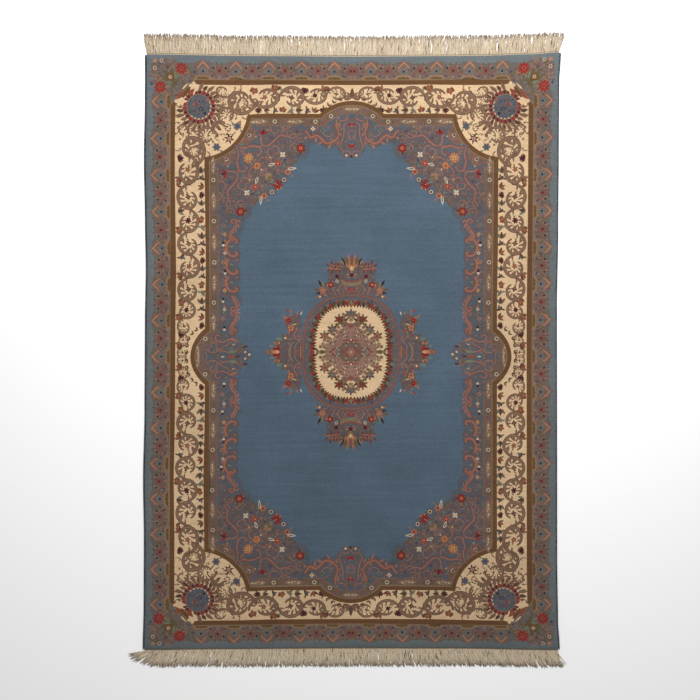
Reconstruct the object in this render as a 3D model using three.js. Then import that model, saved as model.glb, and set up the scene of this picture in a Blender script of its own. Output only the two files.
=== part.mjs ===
// A hand-knotted medallion rug of about 2 by 3 metres, lying flat on its back.
// It has a knotted carpet with a wool pile, an overcast cord sewn along each long side,
// and at each end a narrow woven web whose warps run on as a free fringe.
// Millimetres. X runs across the rug, Y along it, Z up, and the underside is at z = 0.
import * as THREE from "three";

// Driving sizes
const CARPET_WIDTH = 2000; // across the pile, side cords included
const CARPET_LENGTH = 2860; // between the two woven webs
const CARPET_THICKNESS = 11; // foundation and pile together
const PILE_ROUND = 3; // how far the pile's top edge draws in
const PILE_ROUND_HEIGHT = 3;
const CORD_DIAMETER = 8; // the overcast cord along each side
const CORD_SIDES = 12;
const WEB_WIDTH = 12; // the flat-woven strip that the fringe leaves
const WEB_THICKNESS = 4;
const FRINGE_LENGTH = 80; // the free warps beyond the web
const BUNCHES = 110; // bunches of warps in each fringe
const BUNCH_FILL = 0.72; // share of the pitch that a bunch's root takes
const TIP_SHARE = 0.6; // width of a bunch's tip as a share of its root
const PIECE_GAP = 0.3; // between pieces that are sewn together
const EDGE_STEPS = 48; // straight steps along each long edge
const END_STEPS = 36; // straight steps along each short edge

// How far each edge stands out from the straight line: at is the place along the edge, -1 to 1
// from left to right or bottom to top, and out is in millimetres, away from the rug.
const LEFT_EDGE = [
  { at: -1.0, out: 7 },
  { at: -0.85, out: 2 },
  { at: -0.62, out: 1 },
  { at: -0.43, out: 5 },
  { at: -0.2, out: -2 },
  { at: 0.1, out: -4 },
  { at: 0.28, out: -8 },
  { at: 0.45, out: -4 },
  { at: 0.65, out: 1 },
  { at: 0.85, out: -4 },
  { at: 1.0, out: -4 },
];
const RIGHT_EDGE = [
  { at: -1.0, out: 8 },
  { at: -0.9, out: -1 },
  { at: -0.7, out: -5 },
  { at: 0.15, out: -6 },
  { at: 0.4, out: 0 },
  { at: 0.68, out: 3 },
  { at: 0.9, out: 5 },
  { at: 1.0, out: 14 },
];
const TOP_EDGE = [
  { at: -1.0, out: 6 },
  { at: -0.5, out: -2 },
  { at: 0.0, out: -5 },
  { at: 0.6, out: -1 },
  { at: 0.86, out: 6 },
  { at: 1.0, out: 16 },
];
const BOTTOM_EDGE = [
  { at: -1.0, out: 6 },
  { at: -0.65, out: 1 },
  { at: 0.0, out: -3 },
  { at: 0.5, out: -2 },
  { at: 1.0, out: 6 },
];

// How the fringe lies: lean is in degrees from the rug's length, positive to the right,
// and reach is the bunch's length as a share of FRINGE_LENGTH.
const TOP_FRINGE = [
  { at: -1.0, lean: -10, reach: 0.92 },
  { at: -0.9, lean: 6, reach: 1.0 },
  { at: -0.6, lean: 9, reach: 1.05 },
  { at: -0.2, lean: -3, reach: 0.98 },
  { at: 0.3, lean: 5, reach: 0.96 },
  { at: 0.85, lean: 9, reach: 1.0 },
  { at: 1.0, lean: 14, reach: 0.86 },
];
const BOTTOM_FRINGE = [
  { at: -1.0, lean: -80, reach: 0.95 },
  { at: -0.965, lean: -72, reach: 0.9 },
  { at: -0.94, lean: -36, reach: 1.0 },
  { at: -0.7, lean: -24, reach: 1.04 },
  { at: -0.4, lean: -6, reach: 1.0 },
  { at: 0.0, lean: 4, reach: 1.02 },
  { at: 0.5, lean: 24, reach: 1.0 },
  { at: 0.85, lean: 30, reach: 1.02 },
  { at: 1.0, lean: 34, reach: 1.0 },
];

const WOOL_BLUE = 0x5b6f82;
const COTTON_IVORY = 0xcbb999;

// A column of a table at a place along the edge, eased between its rows.
function along(table, place, column) {
  const next = table.findIndex((row) => row.at >= place);
  if (next === 0) return table[0][column];
  if (next < 0) return table[table.length - 1][column];
  const [a, b] = [table[next - 1], table[next]];
  const share = (place - a.at) / (b.at - a.at);
  const eased = share * share * (3 - 2 * share);
  return a[column] + (b[column] - a[column]) * eased;
}

// The rug's own grid: across and up run from -1 to 1, and inset is a distance in from the edges.
function rugPoint(across, up, sideInset, endInset) {
  const halfWidth = CARPET_WIDTH / 2;
  const halfLength = CARPET_LENGTH / 2;
  const left = -halfWidth - along(LEFT_EDGE, up, "out") + sideInset;
  const right = halfWidth + along(RIGHT_EDGE, up, "out") - sideInset;
  const bottom = -halfLength - along(BOTTOM_EDGE, across, "out") + endInset;
  const top = halfLength + along(TOP_EDGE, across, "out") - endInset;
  return new THREE.Vector2(
    left + ((right - left) * (across + 1)) / 2,
    bottom + ((top - bottom) * (up + 1)) / 2,
  );
}

// Places from -1 to 1 in even steps.
function steps(count) {
  return Array.from({ length: count + 1 }, (_, i) => (2 * i) / count - 1);
}

// The rug's outline, anticlockwise from the bottom left corner.
function outline(sideInset, endInset) {
  const ends = steps(END_STEPS);
  const sides = steps(EDGE_STEPS);
  const corner = (across, up) => rugPoint(across, up, sideInset, endInset);
  return [
    ...ends.slice(0, -1).map((s) => corner(s, -1)),
    ...sides.slice(0, -1).map((s) => corner(1, s)),
    ...ends.slice(0, -1).map((s) => corner(-s, 1)),
    ...sides.slice(0, -1).map((s) => corner(-1, -s)),
  ];
}

// A closed solid through a stack of like outlines, lowest first, each with its height.
function stack(levels) {
  const count = levels[0].outline.length;
  const positions = levels.flatMap(({ outline: ring, height }) =>
    ring.flatMap((p) => [p.x, p.y, height]),
  );
  const index = [];
  for (let level = 0; level + 1 < levels.length; level++) {
    for (let i = 0; i < count; i++) {
      const a = level * count + i;
      const b = level * count + ((i + 1) % count);
      index.push(a, b, b + count, a, b + count, a + count);
    }
  }
  const last = (levels.length - 1) * count;
  const top = levels[levels.length - 1].outline;
  for (const [a, b, c] of THREE.ShapeUtils.triangulateShape(top, [])) {
    index.push(last + a, last + b, last + c);
  }
  for (const [a, b, c] of THREE.ShapeUtils.triangulateShape(levels[0].outline, [])) {
    index.push(a, c, b);
  }
  const geometry = new THREE.BufferGeometry();
  geometry.setAttribute("position", new THREE.Float32BufferAttribute(positions, 3));
  geometry.setIndex(index);
  geometry.computeVertexNormals();
  return geometry;
}

// The knotted carpet lies between the side cords and the end webs.
function carpetGeometry() {
  const sideInset = CORD_DIAMETER + PIECE_GAP;
  const shoulder = CARPET_THICKNESS - PILE_ROUND_HEIGHT;
  return stack([
    { outline: outline(sideInset, 0), height: 0 },
    { outline: outline(sideInset, 0), height: shoulder },
    {
      outline: outline(sideInset + PILE_ROUND, PILE_ROUND),
      height: CARPET_THICKNESS,
    },
  ]);
}

// An overcast cord, along the left side (side -1) or the right one (side 1).
function cordGeometry(side) {
  const radius = CORD_DIAMETER / 2;
  const path = new THREE.CurvePath();
  const points = steps(EDGE_STEPS).map((up) => {
    const p = rugPoint(side, up, radius, PIECE_GAP);
    return new THREE.Vector3(p.x, p.y, radius);
  });
  for (let i = 0; i + 1 < points.length; i++) {
    path.add(new THREE.LineCurve3(points[i], points[i + 1]));
  }
  const section = new THREE.Shape();
  for (let i = 0; i < CORD_SIDES; i++) {
    const turn = (2 * Math.PI * i) / CORD_SIDES;
    const [x, y] = [radius * Math.cos(turn), radius * Math.sin(turn)];
    if (i) section.lineTo(x, y);
    else section.moveTo(x, y);
  }
  section.closePath();
  return new THREE.ExtrudeGeometry(section, {
    steps: EDGE_STEPS,
    bevelEnabled: false,
    extrudePath: path,
  });
}

// The web and its free warps as one comb. end is 1 for the top of the rug and -1 for the bottom.
function fringeGeometry(end) {
  const table = end > 0 ? TOP_FRINGE : BOTTOM_FRINGE;
  const edgeAt = (across, beyond) => {
    const p = rugPoint(across, end, 0, 0);
    return new THREE.Vector2(p.x, p.y + end * beyond);
  };
  const sewnTo = steps(END_STEPS).map((across) => {
    const p = rugPoint(across, end, CORD_DIAMETER + PIECE_GAP, 0);
    return new THREE.Vector2(p.x, p.y + end * PIECE_GAP);
  });
  const comb = [];
  for (let i = 0; i < BUNCHES; i++) {
    const place = (2 * (i + 0.5)) / BUNCHES - 1;
    const half = BUNCH_FILL / BUNCHES;
    const roots = [edgeAt(place - half, WEB_WIDTH), edgeAt(place + half, WEB_WIDTH)];
    const lean = THREE.MathUtils.degToRad(along(table, place, "lean"));
    const reach = FRINGE_LENGTH * along(table, place, "reach");
    const way = new THREE.Vector2(Math.sin(lean), end * Math.cos(lean));
    const middle = roots[0].clone().add(roots[1]).multiplyScalar(0.5);
    const tips = roots.map((root) =>
      root
        .clone()
        .sub(middle)
        .multiplyScalar(TIP_SHARE * Math.max(Math.cos(lean), 0.4))
        .add(middle)
        .addScaledVector(way, reach),
    );
    comb.push(roots[0], tips[0], tips[1], roots[1]);
  }
  const ring = [
    edgeAt(-1, PIECE_GAP),
    ...sewnTo,
    edgeAt(1, PIECE_GAP),
    edgeAt(1, WEB_WIDTH),
    ...comb.reverse(),
    edgeAt(-1, WEB_WIDTH),
  ];
  if (end < 0) ring.reverse();
  return stack([
    { outline: ring, height: 0 },
    { outline: ring, height: WEB_THICKNESS },
  ]);
}

// A named piece of the rug.
function piece(name, geometry, color, roughness) {
  const material = new THREE.MeshStandardMaterial({ color, roughness, metalness: 0 });
  const mesh = new THREE.Mesh(geometry, material);
  mesh.name = name;
  return mesh;
}

const rug = new THREE.Group();
rug.add(piece("knotted_carpet", carpetGeometry(), WOOL_BLUE, 0.95));
rug.add(piece("side_cord_left", cordGeometry(-1), WOOL_BLUE, 0.9));
rug.add(piece("side_cord_right", cordGeometry(1), WOOL_BLUE, 0.9));
rug.add(piece("fringe_top", fringeGeometry(1), COTTON_IVORY, 0.9));
rug.add(piece("fringe_bottom", fringeGeometry(-1), COTTON_IVORY, 0.9));

export default rug;
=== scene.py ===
"""The looks of a hand-knotted medallion rug that lies flat on a pale floor.

The pattern is charted in one quarter, in millimetres from the rug's centre: the real part of a
point runs across the rug and the imaginary part along it. Four mirrored quarters make the rug.
"""

import cmath
import logging
import math
from collections.abc import Sequence
from dataclasses import dataclass, field
from enum import Enum

import bpy
import numpy as np
from bpy.types import ID, Material, Mesh, Node, NodeOutputs, NodeSocket, NodeTree, Object
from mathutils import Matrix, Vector
from mathutils.bvhtree import BVHTree
from mathutils.geometry import delaunay_2d_cdt


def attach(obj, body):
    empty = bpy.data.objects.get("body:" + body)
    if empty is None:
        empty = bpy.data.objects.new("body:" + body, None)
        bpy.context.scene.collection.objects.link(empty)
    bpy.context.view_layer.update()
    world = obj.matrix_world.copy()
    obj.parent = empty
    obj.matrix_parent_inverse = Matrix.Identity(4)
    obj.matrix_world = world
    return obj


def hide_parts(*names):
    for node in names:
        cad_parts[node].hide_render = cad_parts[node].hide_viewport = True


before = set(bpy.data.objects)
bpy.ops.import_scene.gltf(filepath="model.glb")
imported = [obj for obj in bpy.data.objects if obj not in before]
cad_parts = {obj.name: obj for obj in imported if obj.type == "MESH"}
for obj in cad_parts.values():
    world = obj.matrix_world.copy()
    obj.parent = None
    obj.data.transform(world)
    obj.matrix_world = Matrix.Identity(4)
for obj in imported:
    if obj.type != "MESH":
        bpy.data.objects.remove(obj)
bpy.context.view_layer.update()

MM = 0.001
HALF_WIDTH = 991.7  # of the pile, from the centre to a long edge, in millimetres
HALF_LENGTH = 1430.0

log = logging.getLogger("rug")


class Dye(Enum):
    """The yarns' colours, as red, green and blue from 0 to 255."""

    FIELD = (90, 109, 126)
    STEEL = (114, 122, 125)
    HAZE = (116, 104, 97)
    DUSK = (98, 93, 96)
    IVORY = (238, 203, 160)
    PALE = (216, 198, 170)
    BROWN = (113, 77, 45)
    HUMP = (112, 84, 48)
    MAUVE = (122, 97, 85)
    CLAY = (156, 120, 104)
    TAN = (150, 121, 93)
    FERN = (134, 101, 80)
    BARK = (94, 66, 48)
    SALMON = (165, 112, 92)
    ROSE = (136, 79, 71)
    RUST = (148, 82, 54)
    ORANGE = (198, 131, 88)
    GOLD = (208, 164, 98)
    RED = (158, 42, 36)
    WINE = (88, 30, 32)
    INK = (44, 40, 50)
    OLIVE = (108, 92, 56)
    SAGE = (122, 126, 106)
    SLATE = (94, 98, 106)
    NAVY = (60, 68, 90)


(
    FIELD, STEEL, HAZE, DUSK, IVORY, PALE, BROWN, HUMP, MAUVE, CLAY, TAN, FERN, BARK, SALMON, ROSE,
    RUST, ORANGE, GOLD, RED, WINE, INK, OLIVE, SAGE, SLATE, NAVY,
) = Dye


class Edge(Enum):
    """The two kinds of edge that a band runs along."""

    END = "end"
    SIDE = "side"


END, SIDE = Edge


@dataclass(frozen=True)
class Patch:
    """One dyed area of the pattern: a closed outline in millimetres."""

    outline: tuple[complex, ...]
    dye: Dye


Motif = list[Patch]
Line = Sequence[complex]
Rows = Sequence[tuple[float, ...]]
Array = np.ndarray


def polar(length: float, turn: float) -> complex:
    """A point at some distance from the origin, in a direction in degrees."""
    return cmath.rect(length, math.radians(turn))


def placed(motif: Motif, at: complex, turn: float = 0.0, scale: float = 1.0, flip: bool = False) -> Motif:
    """A copy of a motif, moved to its place in the pattern.

    Args:
        motif: charted about the origin.
        at: where its origin goes.
        turn: degrees anticlockwise.
        scale: its size.
        flip: whether its own x axis mirrors it first.

    Returns:
        The copy.
    """
    spin = polar(scale, turn)
    return [
        Patch(tuple(at + spin * (p.conjugate() if flip else p) for p in patch.outline), patch.dye)
        for patch in motif
    ]


def disc(radius: float, dye: Dye, at: complex = 0, points: int = 8) -> Patch:
    """A round spot."""
    return Patch(tuple(at + cmath.rect(radius, math.tau * (i + 0.5) / points) for i in range(points)), dye)


def ringed(radius: float, ring: Dye, ground: Dye, dot: Dye, at: complex = 0) -> Motif:
    """A spot in a ring."""
    return [disc(radius, ring, at), disc(radius * 0.68, ground, at), disc(radius * 0.4, dot, at, 6)]


def leaf(
    length: float, width: float, dye: Dye, at: complex = 0, turn: float = 0.0, bend: float = 0.0
) -> Patch:
    """A pointed leaf.

    Args:
        length: from its base to its tip.
        width: at its widest.
        dye: its colour.
        at: its base.
        turn: the way it points, in degrees.
        bend: how far the tip lies aside, as a share of the length.

    Returns:
        The leaf.
    """
    large = (
        (0.0, 0.12), (0.2, 0.7), (0.45, 1.0), (0.75, 0.62), (1.0, 0.0), (0.75, -0.62), (0.45, -1.0),
        (0.2, -0.7)
    )
    small = ((0.0, 0.0), (0.3, 0.9), (0.66, 0.75), (1.0, 0.0), (0.66, -0.75), (0.3, -0.9))
    stations = large if length > 32 else small
    spin = polar(1, turn)
    points = [complex(s * length, w * width / 2 + bend * length * s * s) for s, w in stations]
    return Patch(tuple(at + spin * p for p in points), dye)


def star(
    count: int, radius: float, waist: float, dye: Dye, turn: float = 90.0, at: complex = 0,
    round_tips: bool = True
) -> Patch:
    """A star with round or pointed rays.

    Args:
        count: how many rays.
        radius: the tips'.
        waist: the valleys' radius, as a share of it.
        dye: its colour.
        turn: the way the first ray points, in degrees.
        at: its centre.
        round_tips: whether the rays are round, like petals.

    Returns:
        The star.
    """
    step = math.tau / count
    rays = ((-0.5, waist), (-0.26, 0.9), (0.0, 1.0), (0.26, 0.9)) if round_tips else (
        (-0.5, waist), (0.0, 1.0)
    )
    first = math.radians(turn)
    return Patch(
        tuple(at + cmath.rect(radius * r, first + step * (k + a)) for k in range(count) for a, r in rays),
        dye,
    )


def blossom(
    radius: float, petals: int, petal: Dye, heart: Dye, eye: Dye | None = None, at: complex = 0,
    rim: Dye | None = None
) -> Motif:
    """A flower seen from above, with a darker rim where one is given."""
    made = [star(petals, radius * 1.16, 0.66, rim, at=at)] if rim else []
    made += [star(petals, radius, 0.55, petal, at=at), disc(radius * 0.4, heart, at)]
    return made + ([disc(radius * 0.18, eye, at, 6)] if eye else [])


def scroll(length: float, bends: Sequence[float], steps: int = 16) -> list[complex]:
    """A curling line through the origin, which it crosses at its middle along +x.

    Args:
        length: along the line.
        bends: degrees to the millimetre, at even places along it.
        steps: how many straight steps it takes.

    Returns:
        The line's points.
    """
    step = length / steps
    places = np.linspace(0, len(bends) - 1, steps)
    turns = np.radians(np.interp(places, range(len(bends)), bends)) * step
    headings = np.cumsum(turns) - turns / 2
    headings -= np.sum(turns) / 2
    points = np.concatenate([[0], np.cumsum(np.exp(1j * headings) * step)])
    middle = points[steps // 2]
    return [complex(p - middle) for p in points]


def ribbon(path: Line, width: float, dye: Dye, taper: float = 0.6) -> Patch:
    """A strip along a path, which loses a share of its width, the taper, towards both ends."""
    place = np.linspace(-1, 1, len(path))
    return blade(path, width * (1 - taper * place**2), dye)


def blade(path: Line, widths: Sequence[float], dye: Dye) -> Patch:
    """A strip along a path, as wide at even places along it as the widths say."""
    line = np.array(path)
    along = np.gradient(line)
    normal = 1j * along / np.maximum(np.abs(along), 1e-6)
    half = 0.5 * np.interp(np.linspace(0, len(widths) - 1, len(line)), range(len(widths)), widths)
    return Patch(tuple(complex(p) for p in (*(line - normal * half), *(line + normal * half)[::-1])), dye)


def fan(
    radius: float, first: float, last: float, count: int, lengths: Sequence[float], width: float,
    dyes: Sequence[Dye], lean: float = 0.0
) -> Motif:
    """Leaves that stand on a circle round the origin.

    Args:
        radius: the circle's.
        first: the first leaf's direction in degrees.
        last: the last one's.
        count: how many leaves.
        lengths: theirs, by turns.
        width: theirs.
        dyes: their colours, by turns.
        lean: how far they lean off the radius, in degrees.

    Returns:
        The leaves.
    """
    made: Motif = []
    for k, turn in enumerate(np.linspace(first, last, count)):
        root = polar(radius, turn)
        made.append(leaf(lengths[k % len(lengths)], width, dyes[k % len(dyes)], root, turn + lean, 0.15))
    return made


C_BENDS = (9.0, 5.6, 2.9, 1.9, 1.9, 2.9, 5.6, 9.0)
S_BENDS = (8.5, 5.0, 2.6, 0.8, -0.8, -2.6, -5.0, -8.5)
HOOK_BENDS = (0.4, 1.2, 2.6, 5.0, 9.5)


def strewn(
    rows: Sequence[tuple[float, float, float, float, Dye]], slimness: float = 0.42, bend: float = 0.2
) -> Motif:
    """Leaves, one to a row of across, up, turn, length and dye."""
    return [leaf(size, size * slimness, dye, complex(x, y), turn, bend) for x, y, turn, size, dye in rows]


def paired(way: int, rows: Sequence[tuple[float, float, Dye, float, float, float, float]]) -> Motif:
    """One side's leaves, the side being 1 or -1: rows of length, width, dye, across, up, lean and bend."""
    return [
        leaf(a, b, dye, complex(x * way, y), 90 - lean * way, bend) for a, b, dye, x, y, lean, bend in rows
    ]


def spots(rows: Sequence[tuple[float, float, float, Dye]]) -> Motif:
    """Spots, one to a row of across, up, radius and dye."""
    return [disc(radius, dye, complex(x, y), 6) for x, y, radius, dye in rows]


def holds(outline: Line, place: complex) -> bool:
    """Whether a place lies inside an outline."""
    inside = False
    for a, b in zip(outline, (*outline[1:], outline[0])):
        if (a.imag > place.imag) != (b.imag > place.imag):
            crossing = a.real + (b.real - a.real) * (place.imag - a.imag) / (b.imag - a.imag)
            inside ^= place.real < crossing
    return inside


UNDERWOOD = ((BARK, FERN), (OLIVE, BARK), (FERN, SAGE), (BARK, OLIVE), (FERN, RUST))
BRIAR = ((ROSE, OLIVE), (FERN, SALMON), (ROSE, SAGE), (FERN, ROSE), (OLIVE, TAN))


def thicket(
    outline: Line, spacing: float, seed: int, pairs: Sequence[tuple[Dye, Dye]] = BRIAR,
    clear: Sequence[tuple[complex, float]] = (),
) -> Motif:
    """Small shoots and leaves that fill the ground between larger motifs.

    Args:
        outline: of the ground.
        spacing: between the shoots.
        seed: of their random turns.
        pairs: the dyes of each shoot and its leaf, by turns.
        clear: the middles and radii of rounds that stay clear.

    Returns:
        The shoots, leaves and small flowers.
    """
    draw = np.random.default_rng(seed)
    low = complex(min(p.real for p in outline), min(p.imag for p in outline))
    high = complex(max(p.real for p in outline), max(p.imag for p in outline))
    shoot = [p * spacing / 52 for p in scroll(60, HOOK_BENDS, 4)]
    made: Motif = []
    for row in range(int((high - low).imag / (spacing * 0.87)) + 1):
        for column in range(int((high - low).real / spacing) + 2):
            across, up, turn, size = draw.uniform((-0.2, -0.2, 0, 0.8), (0.2, 0.2, 360, 1.2))
            place = low + spacing * complex(column - 0.5 * (row % 2) + across, 0.87 * (row + up))
            if not holds(outline, place) or any(abs(place - middle) < radius for middle, radius in clear):
                continue
            kind = (row * 2 + column * 3) % 7
            stem, tip = pairs[kind % len(pairs)]
            if kind < 5:
                sprig = [
                    ribbon(shoot, 4.4, stem, 0.3),
                    leaf(spacing * 0.5, spacing * 0.24, tip, shoot[2], -50, -0.2)
                ]
                made += placed(sprig, place, turn, size, column % 2 == 0)
            elif kind == 5:
                made += [
                    leaf(15 * size, 8 * size, dye, place, turn + lean, 0.2)
                    for dye, lean in ((stem, 0), (tip, 120))
                ]
            else:
                petal = (TAN, SALMON, NAVY)[column % 3]
                made += [star(4, 8.5 * size, 0.55, petal, turn, place, False), disc(2.8, ROSE, place, 6)]
    return made


def dapple(outline: Line, spacing: float, seed: int, dye: Dye) -> Motif:
    """Blots of another dye that break up a plain ground.

    Args:
        outline: of the ground.
        spacing: between the blots.
        seed: of their random places and turns.
        dye: what they are of.

    Returns:
        The blots.
    """
    draw = np.random.default_rng(seed)
    across, up = [p.real for p in outline], [p.imag for p in outline]
    made = []
    for x in np.arange(min(across), max(across), spacing):
        for y in np.arange(min(up), max(up), spacing):
            place = complex(x, y) + spacing * complex(*draw.uniform(-0.4, 0.4, 2))
            if holds(outline, place):
                made.append(leaf(
                    spacing * draw.uniform(0.8, 1.4), spacing * 0.6, dye, place, draw.uniform(0, 360), 0.3
                ))
    return made


# along the leaf, as shares of its radius
ACANTHUS_WIDTHS = (0.12, 0.17, 0.21, 0.23, 0.23, 0.22, 0.2, 0.17, 0.13, 0.06)
ACANTHUS_LOBES = (0.3, 0.42, 0.5, 0.54, 0.52, 0.44, 0.34, 0.26)
FLAME = ((-0.2, -0.6), (0.3, -0.5), (0.68, -0.1), (1.0, 0.8), (0.6, 0.6), (0.3, 0.5), (-0.2, 0.6))


def acanthus(half_length: float, half_width: float, lobes: int, sweep: float = 340.0) -> Motif:
    """A curled acanthus leaf with flame-shaped lobes inside, from its root on the -x side over +y.

    Args:
        half_length: of the oval that it curls along, in x.
        half_width: the same in y.
        lobes: how many lobes it has on its inner side.
        sweep: how far it goes round, in degrees.

    Returns:
        The leaf, its darker edge first.
    """
    size = (half_length + half_width) / 2
    path = []
    for t in np.linspace(0, 1, 22):
        angle = math.radians(196 - sweep * t)
        reach = 0.9 + 0.16 * max(1 - t / 0.14, 0) - 1.25 * max(t - 0.62, 0) ** 1.1
        path.append(complex(half_length * reach * math.cos(angle), half_width * reach * math.sin(angle)))
    widths = [size * w for w in ACANTHUS_WIDTHS]
    edging = [w + 0.06 * size for w in widths]
    inner: Motif = []
    for share in np.linspace(0.12, 0.9, lobes):
        at = int(share * 20)
        along = path[at + 1] - path[at]
        spin = along / abs(along) * polar(1, -74)
        length = size * float(np.interp(share * 7, range(8), ACANTHUS_LOBES))
        root = path[at] + spin * 0.5 * float(np.interp(share * 9, range(10), widths))
        flame = [root + spin * complex(x * length, y * size * 0.17) for x, y in FLAME]
        inner.append(Patch(tuple(flame), FERN))
    vein = blade(path[2:-3], [w * 0.3 for w in widths], TAN)
    return [blade(path, edging, BARK), *inner, blade(path, widths, FERN), vein]


CORNER = 740+1189j  # the middle of the corner lobe's roundel


def across_corner(motif: Motif) -> Motif:
    """A motif mirrored in the diagonal through the corner roundel."""
    return [
        Patch(tuple(CORNER + 1j * (p - CORNER).conjugate() for p in patch.outline), patch.dye)
        for patch in motif
    ]


@dataclass
class Chart:
    """The quarter's patches, in the order in which they lie over each other."""

    patches: Motif = field(default_factory=list)

    def add(self, *patches: Patch) -> None:
        """Lays patches on the chart as they are."""
        self.patches += patches

    def put(
        self, motif: Motif, at: complex = 0, turn: float = 0.0, scale: float = 1.0, flip: bool = False
    ) -> None:
        """Lays a motif at a place."""
        self.patches += placed(motif, at, turn, scale, flip)

    def put_twice(self, motif: Motif, at: complex = 0, turn: float = 0.0) -> None:
        """Lays a motif at a place and at its mirror place across the corner's diagonal."""
        here = placed(motif, at, turn)
        self.patches += here + across_corner(here)

    def run(self, edge: Edge, motif: Motif, along: float, level: float, flip: bool = False) -> None:
        """Lays a motif on an edge, with its y axis pointing out of the rug.

        Args:
            edge: which kind.
            motif: charted about the origin.
            along: its place, from the edge's middle.
            level: its distance from the rug's middle line.
            flip: whether it is mirrored along the edge.
        """
        at, turn = (complex(along, level), 0.0) if edge is END else (complex(level, along), -90.0)
        self.put(motif, at, turn + (180 if flip else 0), 1.0, flip)


def inside(line: Line, dye: Dye) -> Patch:
    """Everything on the centre's side of a line that runs from the side's middle to the end's."""
    return Patch((0j, *line), dye)


@dataclass(frozen=True)
class BorderShape:
    """The ivory border's two edges. The bands inside it follow the inner one."""

    side: float = 710.0
    end: float = 1154.0
    outer_side: float = 854.0
    outer_end: float = 1294.0
    outer_cut: float = 2046.0  # across plus up, on the line that cuts the outer corner off
    band: float = 24.0  # the brown band's width
    side_niche: tuple[float, float, float] = (135.0, 71.0, 1.8)  # half length, depth, squareness
    end_niche: tuple[float, float, float] = (154.0, 64.0, 1.65)
    lobe: float = 238.0

    def line(self, side_inset: float = 0.0, end_inset: float = 0.0) -> list[complex]:
        """The inner edge, or a line further in, from the side's middle round to the end's.

        Args:
            side_inset: how far in it runs along the sides.
            end_inset: the same along the ends.

        Returns:
            The line's points.
        """
        side, end = self.side - side_inset, self.end - end_inset
        radius = self.lobe + 0.95 * side_inset
        quarter = np.linspace(0, math.pi / 2, 10)
        half, depth, power = self.side_niche
        niche = [
            complex(
                side + (depth + 0.08 * side_inset) * math.cos(t) ** power,
                (half - 0.6 * side_inset) * math.sin(t)
            )
            for t in quarter
        ]
        start = math.atan2(-math.sqrt(radius**2 - (CORNER.real - side) ** 2), side - CORNER.real)
        stop = math.atan2(end - CORNER.imag, -math.sqrt(radius**2 - (CORNER.imag - end) ** 2))
        lobe = [CORNER + cmath.rect(radius, a) for a in np.linspace(start, stop, 17)]
        half, depth, power = self.end_niche
        arch = [
            complex((half - 0.4 * end_inset) * math.sin(t), end + depth * max(math.cos(t), 0.0) ** power)
            for t in quarter[::-1]
        ]
        return niche + lobe + arch

    def region(self, side_inset: float, end_inset: float, dye: Dye) -> Patch:
        """Everything inside a line that follows the inner edge."""
        return inside(self.line(side_inset, end_inset), dye)

    def outer_region(self, out: float, cut: float, dye: Dye) -> Patch:
        """Everything inside the outer edge, or a line that runs out from it by some millimetres."""
        side, end = self.outer_side + out, self.outer_end + out * 0.92
        corner = (complex(side, cut - side), complex(cut - end, end))
        return Patch((0j, complex(side, 0), *corner, complex(0, end)), dye)


def mirrored(half: Line, dye: Dye, wide: float = 1.0, high: float = 1.0) -> Patch:
    """A shape that is alike on both sides of the y axis, from its right half, stretched if need be."""
    right = [complex(p.real * wide, p.imag * high) for p in half]
    return Patch((*right, *(-p.conjugate() for p in right[::-1] if p.real)), dye)


def smooth(*stops: complex) -> list[complex]:
    """A curved line through a few points, in five steps from each to the next."""
    line = []
    for a, b, c, d in zip((stops[0], *stops), stops, stops[1:], (*stops[2:], stops[-1])):
        for t in (0.0, 0.2, 0.4, 0.6, 0.8):
            bend = (2 * a - 5 * b + 4 * c - d) * t + (3 * b - a - 3 * c + d) * t * t
            line.append(b + 0.5 * t * (c - a + bend))
    return [*line, complex(stops[-1])]


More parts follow.
